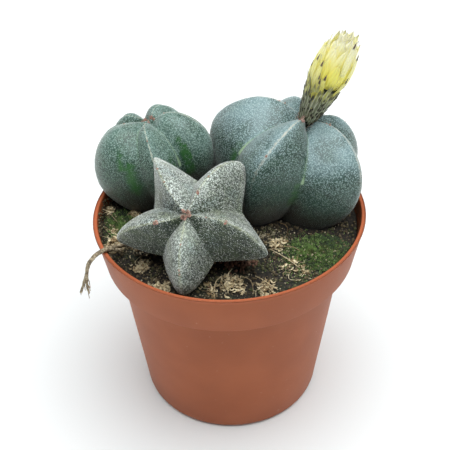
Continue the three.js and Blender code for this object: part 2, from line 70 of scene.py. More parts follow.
# %% [markdown]
# ## Camera
#
# The camera looks down on the pot from about arm's length, the way one looks at a plant on a table.
# A lens of 74 mm keeps the pot's sides almost straight. The camera could be placed by eye, but here
# it is given by its distance, its height angle and the point that it looks at, because those three
# can be checked against the ellipses of the pot's rim. The last small turn levels the horizon.

# %% Camera
VIEW_HEIGHT = math.radians(38.69)
VIEW_DISTANCE = 416 * MM
VIEW_TARGET = Vector((-2.2, 0, 89.8)) * MM
VIEW_ROLL = math.radians(-0.9)

lens = bpy.data.cameras.new("camera")
lens.lens = 74
lens.sensor_width = 36
lens.clip_start = 0.01
camera = bpy.data.objects.new("camera", lens)
bpy.context.scene.collection.objects.link(camera)
backwards = Vector((0, -math.cos(VIEW_HEIGHT), math.sin(VIEW_HEIGHT)))
camera.location = VIEW_TARGET + backwards * VIEW_DISTANCE
camera.rotation_mode = "QUATERNION"
upright = (-backwards).to_track_quat("-Z", "Y")
camera.rotation_quaternion = upright @ Quaternion((0, 0, 1), VIEW_ROLL)
bpy.context.scene.camera = camera
print("camera at", [round(c, 3) for c in camera.location])

# %% [markdown]
# ## Small helpers for finishes
#
# A finish in Blender is a tree of shader nodes. Writing out every link by hand hides what a finish
# does, so small helpers keep the later cells short: they add a node and wire its inputs, blend two
# colours, turn a slow change into a clear edge, or read a number that the vertices keep. Colours are
# written as they look on a screen, from 0 to 255, and made linear, which is what the renderer works in.

# %% Helpers for finishes
def colour(red, green, blue):
    shares = [c / 255 for c in (red, green, blue)]
    linear = [c / 12.92 if c <= 0.04045 else ((c + 0.055) / 1.055) ** 2.4 for c in shares]
    return (*linear, 1)


class Nodes:
    """A tree of shader nodes. An input is either a number or another node's output."""

    def __init__(self, tree):
        self.tree = tree

    def wire(self, socket, value):
        if isinstance(value, bpy.types.NodeSocket):
            self.tree.links.new(value, socket)
        else:
            socket.default_value = value

    def add(self, kind, inputs, **settings):
        node = self.tree.nodes.new("ShaderNode" + kind)
        for name, value in settings.items():
            setattr(node, name, value)
        for key, value in inputs.items():
            self.wire(node.inputs[key], value)
        return node.outputs

    def blended(self, share, first, second):
        pair = [colour(*c) if isinstance(c, tuple) else c for c in (first, second)]
        return self.add("Mix", {0: share, 6: pair[0], 7: pair[1]}, data_type="RGBA")[2]

    def edge(self, value, low, high):
        limits = {"Value": value, "From Min": low, "From Max": high}
        return self.add("MapRange", limits, interpolation_type="SMOOTHSTEP")[0]

    def ranged(self, value, least, most):
        """A number from 0 to 1 becomes one from least to most."""
        return self.add("MapRange", {"Value": value, "To Min": least, "To Max": most})[0]

    def maths(self, operation, first, second=0.0):
        return self.add("Math", {0: first, 1: second}, operation=operation)[0]

    def times(self, first, second):
        return self.maths("MULTIPLY", first, second)


class Finish(Nodes):
    """A material for one kind of surface, kept in FINISHES under its name."""

    def __init__(self, name, roughness):
        FINISHES[name] = bpy.data.materials.new(name)
        FINISHES[name].use_nodes = True
        super().__init__(FINISHES[name].node_tree)
        self.place = self.add("TexCoord", {})["Object"]
        self.set("Roughness", roughness)

    def set(self, name, value):
        self.wire(self.tree.nodes["Principled BSDF"].inputs[name], value)

    def mottle(self, size, detail=3.0):
        """A soft random pattern whose patches are about size millimetres across."""
        pattern = {"Vector": self.place, "Scale": 1 / (size * MM), "Detail": detail}
        return self.add("TexNoise", pattern)["Fac"]

    def patches(self, size, detail, low, high):
        """The same pattern with clear edges."""
        return self.edge(self.mottle(size, detail), low, high)

    def kept(self, name):
        """A number that the mesh keeps on its vertices."""
        return self.add("Attribute", {}, attribute_name=name)["Fac"]

    def bumped(self, height, depth):
        """Relief of depth millimetres where height goes from 0 to 1."""
        bump = self.add("Bump", {"Height": height, "Distance": depth * MM, "Strength": 1.0})
        self.set("Normal", bump["Normal"])

    def translucent(self, weight, *radii):
        """Lets red, green and blue light so many millimetres in."""
        self.set("Subsurface Weight", weight)
        self.set("Subsurface Radius", [radius * MM for radius in radii])
        self.set("Subsurface Scale", 1.0)


FINISHES = {}
print("a mid grey on the screen is", round(colour(128, 128, 128)[0], 3), "in light")

# %% [markdown]
# ## Small helpers for pieces
#
# Each piece is modelled with bmesh operators and then handed over: its faces put in a fixed order,
# scaled to metres, given its finish, shaded smooth, and tied to the frame. Thousands of small things,
# such as woolly flecks and crumbs, are copies of one shape. Blender's particles or instances would be
# lighter, but they are not kept when a model is exported, so one small shape is doubled again and
# again in a single mesh, and every copy gets a number by which it is then set in its place.

# %% Helpers for pieces
def in_order(bm):
    """The same surface with its faces sorted, each one starting at its lowest vertex.

    Blender's operators number the vertices alike in every run, but not the faces. Draws that go face
    by face, and the line that splits a face into two triangles, would change from run to run."""
    bm.verts.index_update()
    faces = []
    for face in bm.faces:
        corners = [vertex.index for vertex in face.verts]
        start = corners.index(min(corners))
        faces.append(corners[start:] + corners[:start])
    ordered = bmesh.new()
    layers = bm.verts.layers.float
    pairs = [(layers[name], ordered.verts.layers.float.new(name)) for name in layers.keys()]
    for vertex in bm.verts:
        same = ordered.verts.new(vertex.co)
        for old, new in pairs:
            same[new] = vertex[old]
    ordered.verts.ensure_lookup_table()
    for corners in sorted(faces):
        ordered.faces.new([ordered.verts[i] for i in corners])
    ordered.normal_update()
    bm.free()
    return ordered


def hand_over(bm, name, finish, nodes=()):
    bm = in_order(bm)
    bmesh.ops.scale(bm, vec=(MM, MM, MM), verts=bm.verts)
    mesh = bpy.data.meshes.new(name)
    bm.to_mesh(mesh)
    bm.free()
    mesh.shade_smooth()
    mesh.materials.append(FINISHES[finish])
    piece = bpy.data.objects.new(name, mesh)
    bpy.context.scene.collection.objects.link(piece)
    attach(piece, "root")
    if nodes:
        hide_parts(*nodes)
    print(name, len(mesh.polygons), "faces")


def scattered(shape, places, seed, shares=None):
    """Copies of a small shape, one at each place, with a random number from 0 to 1 on each copy.

    Where shares are given, each number is half random and half the copy's own share."""
    bm = shape.copy()
    number = bm.verts.layers.int.new("number")
    count = 1
    while count < len(places):
        made = bmesh.ops.duplicate(bm, geom=bm.verts[:] + bm.edges[:] + bm.faces[:])["geom"]
        for element in made:
            if isinstance(element, bmesh.types.BMVert):
                element[number] += count
        count *= 2
    spare = [vertex for vertex in bm.verts if vertex[number] >= len(places)]
    bmesh.ops.delete(bm, geom=spare, context="VERTS")
    number = bm.verts.layers.int["number"]
    chance = bm.verts.layers.float.new("chance")
    draw = random.Random(seed)
    chances = [draw.random() for _ in places]
    if shares:
        chances = [(chance + share) / 2 for chance, share in zip(chances, shares)]
    for vertex in bm.verts:
        vertex.co = places[vertex[number]] @ vertex.co
        vertex[chance] = chances[vertex[number]]
    bm.verts.layers.int.remove(number)
    return bm


def joined(parts):
    """Several bmeshes in one."""
    whole = parts[0].copy()
    for part in parts[1:]:
        held = bpy.data.meshes.new("held")
        part.to_mesh(held)
        whole.from_mesh(held)
        bpy.data.meshes.remove(held)
    return whole


def standing(place, up, size, spin):
    """The matrix that sets something upright on a surface there."""
    turn = up.to_track_quat("Z", "Y") @ Quaternion((0, 0, 1), spin)
    return Matrix.LocRotScale(place, turn, Vector(size))


def along_line(points, share):
    """Place and direction on a smooth line through the points, from its start at 0 to its end at 1."""
    spans = len(points) - 1
    at = min(share * spans, spans - 1e-6)
    i = int(at)
    t = at - i
    p1, p2 = points[i], points[i + 1]
    p0 = points[i - 1] if i else 2 * p1 - p2
    p3 = points[i + 2] if i + 2 <= spans else 2 * p2 - p1
    bend = (2 * p0 - 5 * p1 + 4 * p2 - p3, 3 * (p1 - p2) + p3 - p0)
    place = 0.5 * (2 * p1 + (p2 - p0) * t + bend[0] * t * t + bend[1] * t**3)
    direction = 0.5 * ((p2 - p0) + 2 * bend[0] * t + 3 * bend[1] * t * t)
    return place, direction.normalized()


def reed(bm, points, radius_at, sides=5, steps=12):
    """A thin round stem along a line: a sphere whose rows become rings, a step of the line apart."""
    made = bmesh.ops.create_uvsphere(bm, u_segments=sides, v_segments=steps + 2, radius=1)["verts"]
    aside = Vector((0.31, 0.67, 0.42))
    for vertex in made:
        row = round(math.acos(max(-1, min(1, vertex.co.z))) / math.pi * (steps + 2))
        share = min(1, max(0, (row - 1) / steps))
        place, direction = along_line(points, share)
        first = direction.cross(aside).normalized()
        second = direction.cross(first)
        radius = radius_at(share) if 0 < row < steps + 2 else 0
        angle = math.atan2(vertex.co.y, vertex.co.x)
        vertex.co = place + first * (radius * math.cos(angle)) + second * (radius * math.sin(angle))
    return made


def face_outwards(bm):
    """Turns all faces of a closed surface the same way round."""
    bmesh.ops.recalc_face_normals(bm, faces=bm.faces)
    return bm


def spike(sides, tip, lift):
    """A cone without a base, one high, for flecks, hairs and shoots. Its middle is lifted that far."""
    bm = bmesh.new()
    bmesh.ops.create_cone(bm, cap_ends=False, segments=sides, radius1=1, radius2=tip, depth=1)
    bmesh.ops.translate(bm, vec=(0, 0, lift), verts=bm.verts)
    return bm


def smoothly(value, low, high):
    share = min(1, max(0, (value - low) / (high - low)))
    return share * share * (3 - 2 * share)


def polar(radius, angle, z=0):
    return Vector((radius * math.cos(angle), radius * math.sin(angle), z))


def any_way(draw):
    """A random vector that has no favourite direction."""
    return Vector((draw.gauss(0, 1), draw.gauss(0, 1), draw.gauss(0, 1)))


# %% [markdown]
# ## Light and floor
#
# The plant stands on a white table under one very large soft light, with pale walls far away. The
# light could be an area lamp, but a near lamp lights the table unevenly, and here the table is evenly
# white. So it is a sun with a very wide angle, which acts like a bright ceiling. The walls are a band
# of white at the height of the horizon, dimmer behind the reader and brighter at both sides, where
# there are windows. The room above them is dim, so that what faces sideways stays darker than what
# faces up. Blender's default colour transform would grey the whites, so the plain one is chosen.
# Round the pot the table's own colour is painted a little greyer, as a painted shadow.

# %% Light and floor
WALL_TOP = 0.22
WALL_BLUR = 0.14
WALLS = 0.62
ROOM_ABOVE = 0.1
CEILING_TOWARDS = Vector((0.08, -0.03, 1))
CEILING_STRENGTH = 3.8
CEILING_WIDTH = math.radians(70)
FLOOR_SIZE = 30
scene = bpy.context.scene
scene.view_settings.view_transform = "Standard"
world = bpy.data.worlds.new("white_room")
world.use_nodes = True
sky = Nodes(world.node_tree)
direction = sky.add("SeparateXYZ", {"Vector": sky.add("TexCoord", {})["Generated"]})
low_down = sky.edge(direction["Z"], WALL_TOP + WALL_BLUR, WALL_TOP - WALL_BLUR)
walls = sky.times(low_down, sky.ranged(sky.edge(direction["Y"], -0.95, 0.1), 0.3, 1))
at_sides = sky.edge(sky.maths("ABSOLUTE", direction["X"]), 0.5, 0.9)
windows = sky.times(at_sides, sky.edge(direction["Z"], 0.85, 0.45))
room = sky.maths("MAXIMUM", walls, windows)
background = world.node_tree.nodes["Background"].inputs
sky.wire(background["Strength"], sky.ranged(room, ROOM_ABOVE, WALLS))
background["Color"].default_value = (1, 1, 1, 1)
scene.world = world

ceiling = bpy.data.lights.new("ceiling", "SUN")
ceiling.energy = CEILING_STRENGTH
ceiling.angle = CEILING_WIDTH
lamp = bpy.data.objects.new("ceiling", ceiling)
scene.collection.objects.link(lamp)
lamp.location = CEILING_TOWARDS * 0.6
lamp.rotation_mode = "QUATERNION"
lamp.rotation_quaternion = (-CEILING_TOWARDS).to_track_quat("-Z", "Y")

ground = bmesh.new()
bmesh.ops.create_grid(ground, x_segments=8, y_segments=8, size=FLOOR_SIZE)
floor_mesh = bpy.data.meshes.new("floor")
ground.to_mesh(floor_mesh)
ground.free()
floor = bpy.data.objects.new("floor", floor_mesh)
scene.collection.objects.link(floor)
floor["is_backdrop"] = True
finish = Finish("white_board", 0.85)
from_middle = finish.add("VectorMath", {0: finish.place}, operation="LENGTH")["Value"]
# Painted shadow: the board is a little greyer within 12 centimetres of the pot's middle, fading to full
# white at 26.
painted_shadow_near_pot = finish.edge(from_middle, 120 * MM, 260 * MM)
finish.set("Base Color", finish.blended(painted_shadow_near_pot, (234, 239, 240), (242, 246, 246)))
floor_mesh.materials.append(FINISHES["white_board"])

# %% [markdown]
# ## Pot
#
# A thin injection-moulded nursery pot, wider at the top, with a straight collar that makes it stiff
# and lets pots be stacked. It could be cut from a cylinder, but a pot is a turned shape, so its
# section is drawn once and spun round. The corners of the section are rounded where a mould rounds
# them, because those narrow rounds catch the light along the lip and the collar's foot. The rim of a
# filled pot is never quite round, so the upper part is squeezed a little along one diagonal.

# %% Pot section
POT_HEIGHT = 99
COLLAR_FOOT = 79
FLOOR_TOP = 2.4
FLOOR_BELOW = 1.2
POT_SEGMENTS = 240
FIRST_HOLE_AT = math.radians(-53)
HOLES = 6
HOLE_RADIUS = 3.2
HOLE_CIRCLE = 24
HOLE_RINGS = [HOLE_CIRCLE + 2.9 * step / 3 for step in range(-3, 4)]
HOLE_COLUMNS = 5
ARCH_HALF_WIDTH = 7.5
ARCH_HEIGHT = 1.7
FOOT_RING_INNER = 35

# Radius, height and the radius of the corner there, from the middle of the underside round to the
# middle of the floor inside.
POT_SECTION = [
    (0, 0, 0), (9, 0, 0.3), (9.8, FLOOR_BELOW, 0.3),
    *[(radius, FLOOR_BELOW, 0) for radius in HOLE_RINGS],
    (34.2, FLOOR_BELOW, 0.3), (FOOT_RING_INNER, 0, 0), (41.66, 0, 3),
    (44.3, 22, 0), (47, 44, 0), (49.6, 66, 0), (51.2, COLLAR_FOOT, 0.5), (56.4, COLLAR_FOOT, 0.7),
    (58.4, 90, 0), (60, 98.9, 0.5), (59.9, POT_HEIGHT, 0.5), (58.4, POT_HEIGHT, 0.5),
    (56.8, 89.5, 0), (55.3, 80.2, 0.4), (50, 80.2, 0.5), (45.6, 44, 0), (40.8, 4.2, 1.0),
    (39.3, FLOOR_TOP, 0.6),
    *[(radius, FLOOR_TOP, 0) for radius in reversed(HOLE_RINGS)],
    (0, FLOOR_TOP, 0),
]


def rounded_line(corners, steps=4):
    """The corners as points, each one with a radius replaced by a smooth turn."""
    points = [Vector((corner[0], 0, corner[1])) for corner in corners]
    line = []
    for i, (point, corner) in enumerate(zip(points, corners)):
        if corner[2] == 0:
            line.append(point)
            continue
        start = point + (points[i - 1] - point).normalized() * corner[2]
        end = point + (points[i + 1] - point).normalized() * corner[2]
        for step in range(steps + 1):
            share = step / steps
            line.append(start.lerp(point, share).lerp(point.lerp(end, share), share))
    return line


def turned(line, segments):
    """A solid of revolution about the Z axis from a line of points."""
    bm = bmesh.new()
    verts = [bm.verts.new(point) for point in line]
    edges = [bm.edges.new(pair) for pair in zip(verts, verts[1:])]
    full_turn = {"axis": (0, 0, 1), "angle": 2 * math.pi, "steps": segments, "use_merge": True}
    bmesh.ops.spin(bm, geom=verts + edges, cent=(0, 0, 0), **full_turn)
    bmesh.ops.remove_doubles(bm, verts=bm.verts, dist=1e-4)
    return in_order(face_outwards(bm))


pot = turned(rounded_line(POT_SECTION), POT_SEGMENTS)
bmesh.ops.rotate(pot, cent=(0, 0, 0), matrix=Matrix.Rotation(FIRST_HOLE_AT, 3, "Z"), verts=pot.verts)
print("pot section has", len(rounded_line(POT_SECTION)), "points")

# %% [markdown]
# The floor has six drain holes, and the foot has six low arches between them so that water can run
# out from under the pot. Cutting them with a boolean would leave long thin faces. Here a square of
# the floor's own faces is taken out above and below, its edge is moved onto a circle, and the two
# circles are bridged into a clean hole. The arches are made by lifting the foot's vertices.

# %% Drain holes and foot arches
def off_angle(place, angle):
    """How far round the pot a place is from an angle, in radians either way."""
    return (math.atan2(place.y, place.x) - angle + math.pi) % (2 * math.pi) - math.pi


column = 2 * math.pi / POT_SEGMENTS
for i in range(HOLES):
    angle = FIRST_HOLE_AT + i * 2 * math.pi / HOLES
    centre = polar(HOLE_CIRCLE, angle)
    patch = []
    for face in pot.faces:
        middle = face.calc_center_median()
        radius = math.hypot(middle.x, middle.y)
        if middle.z > FLOOR_TOP + 0.1 or not HOLE_RINGS[0] < radius < HOLE_RINGS[-1]:
            continue
        if abs(off_angle(middle, angle)) < HOLE_COLUMNS * column:
            patch.append(face)
    bmesh.ops.delete(pot, geom=patch, context="FACES")
    rim = [edge for edge in pot.edges if edge.is_boundary]
    for vertex in {vertex for edge in rim for vertex in edge.verts}:
        flat = Vector((vertex.co.x, vertex.co.y, 0)) - centre
        flat *= HOLE_RADIUS / flat.length
        vertex.co = Vector((centre.x + flat.x, centre.y + flat.y, vertex.co.z))
    bmesh.ops.bridge_loops(pot, edges=rim)

for vertex in pot.verts:
    radius = math.hypot(vertex.co.x, vertex.co.y)
    if radius < FOOT_RING_INNER - 0.1 or vertex.co.z > ARCH_HEIGHT:
        continue
    for i in range(HOLES):
        angle = FIRST_HOLE_AT + (i - 0.5) * 2 * math.pi / HOLES
        share = radius * math.sin(off_angle(vertex.co, angle)) / ARCH_HALF_WIDTH
        if abs(share) < 1 and math.cos(off_angle(vertex.co, angle)) > 0:
            vertex.co.z = max(vertex.co.z, ARCH_HEIGHT * math.sqrt(1 - share * share))


SQUEEZE = 0.016
SQUEEZED_TOWARDS = math.radians(45)


def squeeze(x, y, z):
    """How far the pot is pressed out of round there, as a factor on the radius."""
    return 1 + SQUEEZE * (z / POT_HEIGHT) * math.cos(2 * (math.atan2(y, x) - SQUEEZED_TOWARDS))


def press(vertex):
    factor = squeeze(*vertex.co)
    vertex.co.x *= factor
    vertex.co.y *= factor


for vertex in pot.verts:
    press(vertex)
face_outwards(pot)
if pot.calc_volume(signed=True) < 0:
    bmesh.ops.reverse_faces(pot, faces=pot.faces)
pot.normal_update()
inner = pot.verts.layers.float.new("inner")
for vertex in pot.verts:
    outwards = vertex.normal.x * vertex.co.x + vertex.normal.y * vertex.co.y
    faces_inwards = -outwards / max(1, vertex.co.xy.length) > 0.5
    vertex[inner] = float(faces_inwards and vertex.co.z > COLLAR_FOOT)
print("pot has", len(pot.verts), "vertices")

# %% [markdown]
# ### The pot's plastic
#
# Thin terracotta-coloured polypropylene: satin, with a soft sheen, and so thin that the lip lets a
# little light through. That light is painted: the plastic turns lighter and more orange just below the
# lip, a painted glow and highlight. One flat colour would look like paint. A faint cloudiness comes
# from the pigment and very fine pits come from the mould. Pale specks of dust stick to it, and the
# collar is smeared with soil on its inside.

# %% Pot plastic
finish = Finish("pot_plastic", 0.5)
body = finish.blended(finish.patches(26, 3.0, 0.3, 0.7), (152, 82, 48), (162, 89, 53))
height = finish.add("SeparateXYZ", {"Vector": finish.place})["Z"]
# Painted glow: the last two millimetres below the lip are painted lighter, for light through the thin
# plastic and on the lip.
painted_lip_glow = finish.times(finish.edge(height, 96.6 * MM, 98.8 * MM), 0.6)
bright = finish.blended(painted_lip_glow, body, (194, 106, 70))
specks = finish.times(finish.patches(2.2, 6.0, 0.69, 0.76), 0.3)
dusted = finish.blended(specks, bright, (196, 158, 132))
smears = finish.times(finish.kept("inner"), finish.patches(4.0, 5.0, 0.4, 0.6))
soiled = finish.times(finish.times(smears, finish.edge(height, 99 * MM, 95 * MM)), 0.7)
finish.set("Base Color", finish.blended(soiled, dusted, (74, 52, 40)))
finish.bumped(finish.maths("ADD", finish.mottle(0.5), finish.mottle(11)), 0.05)
finish.translucent(0.06, 1.6, 0.6, 0.3)
finish.set("Specular IOR Level", 0.25)
hand_over(pot, "nursery_pot", "pot_plastic", ["pot"])

# %% [markdown]
# ## The cactus bodies
#
# A bishop's cap grows five wide ribs round a sunken crown, with a sharp furrow between each two. It
# has no spines: its only marks are small woolly pads along the ribs. A body could be sculpted, but a
# rule gives all three plants. A sphere has its columns moved so that every fortieth one is the edge
# of a rib, and the rows give the height. The numbers say where each rib points, how far it reaches,
# how fat the ribs are above and below the widest place, and how deep the furrows are. A second list
# lets single ribs lean sideways, end bluntly or fold deeper, since no plant grows quite evenly.

# %% Plants
# A rib has its direction in degrees, its reach, how far it sways sideways in millimetres, and how
# blunt it is. A fold, by the number of the rib before it, lies a share of the way to the next rib, has
# a depth, and has a bulge on both sides. A crown is off the middle in x and y, down to a share of the
# way to the root.
PLANTS = {
    "star": {
        "root": (-11.7, -13.7, 88),
        "lean": (31, 255),
        "ribs": [
            (50, 1.0, 2.0, 0.3), (115, 1.06, 1.8, 0.1), (184, 0.95, 2.4, 0.15),
            (259, 0.86, 0, 0.12), (333, 0.98, 2.0, 0.1),
        ],
        "radius": 34.1,
        "heights": (26.7, 20.6, 25.2),
        "fullness": (0.36, 0.57),
        "roundness": 1.35,
        "furrow": 0.43,
        "bulge": 0.02,
        "dip": (2.6, 0.24),
        "folds": {
            1: (0.5, 1.05, -0.02, 0.07), 2: (0.5, 0.92, 0.02, 0.08),
            3: (0.5, 0.92, 0.08, 0.02), 4: (0.5, 0.88, 0, 0),
        },
        "crown": (0.2, -1.8, 0.2),
    },
    "left": {
        "root": (-26.6, 18.9, 86),
        "lean": (17, 147),
        "ribs": [
            (60, 0.94, 0, 0.1), (140, 0.9, 0, 0.1), (191, 1.02, 0, 0.1),
            (278, 0.98, 0, 0.08), (355, 1.02, 0, 0.1),
        ],
        "radius": 26.9,
        "heights": (27, 23, 27.8),
        "fullness": (0.51, 0.76),
        "roundness": 2,
        "furrow": 0.32,
        "bulge": 0.24,
        "dip": (5.5, 0.36),
        "folds": {2: (0.8, 0.5, 0.2, 0.03), 3: (0.42, 0.95, 0.03, 0.18), 4: (0.4, 1.4, 0.18, 0.18)},
        "crown": (2.3, 0.3, 0.08),
    },
    "right": {
        "root": (20, 11.9, 86),
        "lean": (18, 24),
        "ribs": [
            (22, 0.9, 0, 0.08), (98, 1.01, 0, 0.08), (154, 1.09, 0, 0.08),
            (236, 0.97, 1.6, 0.08), (322, 0.96, 0, 0.08),
        ],
        "radius": 36.9,
        "heights": (29.8, 29.8, 33.7),
        "fullness": (0.74, 0.51),
        "roundness": 2,
        "furrow": 0.32,
        "bulge": 0.11,
        "dip": (10.4, 0.46),
        "folds": {2: (0.6, 0.88, 0.11, 0.08), 3: (0.44, 1, 0.08, 0.11)},
        "crown": (0, 0, 0.08),
    },
}
COLUMNS_PER_RIB = 40
BODY_ROWS = 150
RIB_SHARPNESS = 1.3
RIM_GAP = 1.2


def collar_inside(z):
    """Radius of the collar's inner face at a height."""
    return 55.3 + 3.0 * (z - 80.2) / 18.8


def leaning(foot, lean, towards):
    axis = (-math.sin(math.radians(towards)), math.cos(math.radians(towards)), 0)
    return Matrix.Translation(foot) @ Matrix.Rotation(math.radians(lean), 4, axis)


def on_body(plant, around, down):
    """A place on a plant that stands upright. around counts ribs, and down runs from 0 at the crown
    to 1 at the root."""
    ribs = plant["ribs"]
    rib = int(around) % len(ribs)
    part = around % 1
    near, far = ribs[rib], ribs[(rib + 1) % len(ribs)]
    fold_at, fold_depth, *bulges = plant["folds"].get(rib, (0.5, 1, plant["bulge"], plant["bulge"]))
    bulge = bulges[0]
    if part > 0.5:
        near, far = far, near
        fold_at, bulge = 1 - fold_at, bulges[1]
    share = (2 * min(part, 1 - part)) ** RIB_SHARPNESS
    blunt = near[3]
    inward = (math.hypot(share, blunt) - blunt) / (math.hypot(1, blunt) - blunt)
    turn = (far[0] - near[0] + 180) % 360 - 180
    sine = max(0, math.sin(math.pi * down))
    cosine = math.cos(math.pi * down)
    middle, top, bottom = plant["heights"]
    upper = cosine > 0
    flat = max(0, 1 - abs(cosine) ** plant["roundness"])
    swell = flat ** plant["fullness"][0 if upper else 1]
    depth = plant["furrow"] * fold_depth * plant["radius"] * sine**0.6
    dip = plant["dip"][0] * math.exp(-((math.pi * down / plant["dip"][1]) ** 2))
    height = middle + (top if upper else bottom) * cosine - dip
    sway = near[2] * 4 * swell * (1 - swell) if upper else 0
    ridge = Vector((plant["radius"] * near[1] * swell, sway))
    valley = max(0, plant["radius"] * (near[1] + far[1]) / 2 * swell - depth * sine)
    half = math.radians(turn * fold_at)
    along = Vector((math.cos(half), math.sin(half))) * valley - ridge
    outward = Vector((abs(along.y), -along.x * math.copysign(1, turn)))
    puff = bulge * 4 * share * (1 - share)
    place = ridge + Vector((along.x * inward, along.y * share)) + outward * puff
    angle = math.atan2(place.y, place.x) + math.radians(near[0])
    z = height - depth * cosine * inward + puff * along.length * cosine
    shift_x, shift_y, width = plant["crown"]
    off_middle = Vector((shift_x, shift_y, 0)) * math.exp(-((down / width) ** 2))
    return polar(place.length, angle, z) + off_middle, share


def pressed_by_rim(place):
    """Where a plant pushes against the pot it is dented, and it swells again above the rim."""
    over = max(0, place.z - POT_HEIGHT - RIM_GAP)
    free = collar_inside(min(place.z, POT_HEIGHT)) - RIM_GAP + 1.1 * over
    limit = free * squeeze(place.x, place.y, POT_HEIGHT)
    radius = math.hypot(place.x, place.y)
    if radius > limit:
        place.x *= limit / radius
        place.y *= limit / radius
    return place


def plant_body(plant, seed, edge_share, paler):
    """A plant as a mesh. Each vertex keeps a painted light: its flecks are paler where it faces up and,
    by edge_share, near a rib's edge, which leaves the furrows in painted shade, and paler adds a
    small painted lightening or shading for each rib."""
    bm = bmesh.new()
    ribs = len(plant["ribs"])
    bmesh.ops.create_uvsphere(bm, u_segments=ribs * COLUMNS_PER_RIB, v_segments=BODY_ROWS, radius=1)
    bm = in_order(bm)
    layers = [bm.verts.layers.float.new(name) for name in ("rib", "down", "around", "painted_light")]
    rib_share, how_low, ribs_round, painted_light = layers
    stand = leaning(plant["root"], *plant["lean"])
    for vertex in bm.verts:
        around = (math.atan2(vertex.co.y, vertex.co.x) / (2 * math.pi)) % 1 * ribs
        down = math.acos(max(-1, min(1, vertex.co.z))) / math.pi
        place, share = on_body(plant, around, down)
        vertex.co = pressed_by_rim(stand @ place)
        vertex[rib_share], vertex[how_low], vertex[ribs_round] = share, down, around
    face_outwards(bm).normal_update()
    # Painted light and shade: paler where the skin faces up and near a rib's edge, darker in the
    # furrows, with a step for each rib.
    for vertex in bm.verts:
        near_edge = (1 - vertex[rib_share]) ** 1.5
        facing_up = smoothly(vertex.normal.z, -0.25, 0.95)
        pale = facing_up + (near_edge - facing_up) * edge_share
        vertex[painted_light] = min(1, max(0, pale + paler[round(vertex[ribs_round]) % ribs]))
        broad = noise.noise(vertex.co / 11 + Vector((seed, 0, 0)))
        fine = noise.noise(vertex.co / 2.6 + Vector((0, seed, 0)))
        calm = smoothly(vertex[how_low], 0, 0.06)
        vertex.co += vertex.normal * (0.32 * broad + 0.09 * fine) * calm
    bm.normal_update()
    return bm


# Painted light for each plant: how far it follows a rib's edge, leaving the furrows in painted shade,
# and a painted lightening or shading for each rib.
PAINTED_LIGHT_BY_RIB = {
    "star": (0.45, (0.05, 0.2, -0.24, 0.16, -0.2)),
    "left": (0.12, (0, 0, 0, 0, 0.25)),
    "right": (0.12, (0, 0, -0.05, -0.15, 0)),
}
bodies = {}
for seed, (name, plant) in enumerate(PLANTS.items()):
    bodies[name] = plant_body(plant, seed, *PAINTED_LIGHT_BY_RIB[name])
# Ribs are pressed flat where they meet a neighbour. The right plant keeps its form, the left one is
# pressed by it, and the star by both.
TOUCH_GAP = 0.3
surfaces = {}
for name in ("right", "left", "star"):
    for vertex in bodies[name].verts:
        for surface in surfaces.values():
            near, normal, _, distance = surface.find_nearest(vertex.co)
            if (vertex.co - near).dot(normal) < TOUCH_GAP and distance < 25:
                vertex.co = near + normal * TOUCH_GAP
    bodies[name].normal_update()
    surfaces[name] = BVHTree.FromBMesh(bodies[name])


def inside_plant(place, margin=0.0):
    for surface in surfaces.values():
        near, normal, _, distance = surface.find_nearest(place)
        if (place - near).dot(normal) < margin and distance < 40:
            return True
    return False


print("rows and columns:", BODY_ROWS, [len(body.verts) for body in bodies.values()])

# %% [markdown]
# ### Bare green stripes
#
# Beside some furrows the skin has lost its flecks and shows fresh green, with a pale crease where two
# ribs fold together. A painted picture could hold these marks, but then they would stay flat colour.
# Instead each mark is a stretch of a line from the crown to the root, beside a furrow or in it, and
# every vertex keeps how close it is to one. The finish reads that number for its colour, and most of
# the flecks keep off the stripes.

# %% Stripes and creases
# For each mark: ribs round the plant, where it starts and ends between crown and root, its half
# width in millimetres, and how strong it is at both ends. Furrows lie near a whole number and a half.
STRIPES = {
    "star": [],
    "left": [
        (2.4, 0.27, 0.4, 2.4, 0.3, 0.9), (2.45, 0.4, 0.56, 3.4, 0.9, 1.0),
        (3.58, 0.31, 0.42, 2.4, 0.5, 1.0), (3.57, 0.42, 0.57, 3.2, 1.0, 1.0),
        (3.4, 0.38, 0.5, 3.0, 0.3, 0.5),
    ],
    "right": [
        (2.47, 0.43, 0.53, 2.6, 0.6, 1.0), (3.47, 0.5, 0.64, 3.0, 0.6, 0.9),
        (3.5, 0.3, 0.48, 2.0, 0.25, 0.5),
    ],
}
CREASES = {
    "star": [],
    "left": [
        (3.5, 0.1, 0.42, 2.0, 0.1, 0.25), (3.5, 0.42, 0.5, 1.8, 0.25, 0.7),
        (2.5, 0.12, 0.35, 2.0, 0.25, 0.1),
    ],
    "right": [
        (2.5, 0.1, 0.36, 2.0, 0.15, 0.2), (2.5, 0.36, 0.46, 2.0, 0.3, 0.7),
        (3.5, 0.14, 0.4, 2.0, 0.2, 0.15), (3.5, 0.43, 0.475, 1.3, 0.2, 0.6),
    ],
}


def on_skin(name, around, down):
    """A place on a plant as it stands in the pot."""
    plant = PLANTS[name]
    stand = leaning(plant["root"], *plant["lean"])
    return pressed_by_rim(stand @ on_body(plant, around, down)[0])


def marked_by(name, marks, place, around, down):
    """How strongly the marks show on a place of the skin: fully on a mark, not past its half width."""
    best = 0
    for line, start, end, half_width, first, last in marks:
        if abs(around - line) > 0.5 or not start - 0.15 < down < end + 0.15:
            continue
        nearest = min(end, max(start, down))
        gap = (place - on_skin(name, line, nearest)).length
        strength = first + (last - first) * (nearest - start) / (end - start)
        best = max(best, strength * (1 - smoothly(gap, 0.3 * half_width, half_width)))
    return best


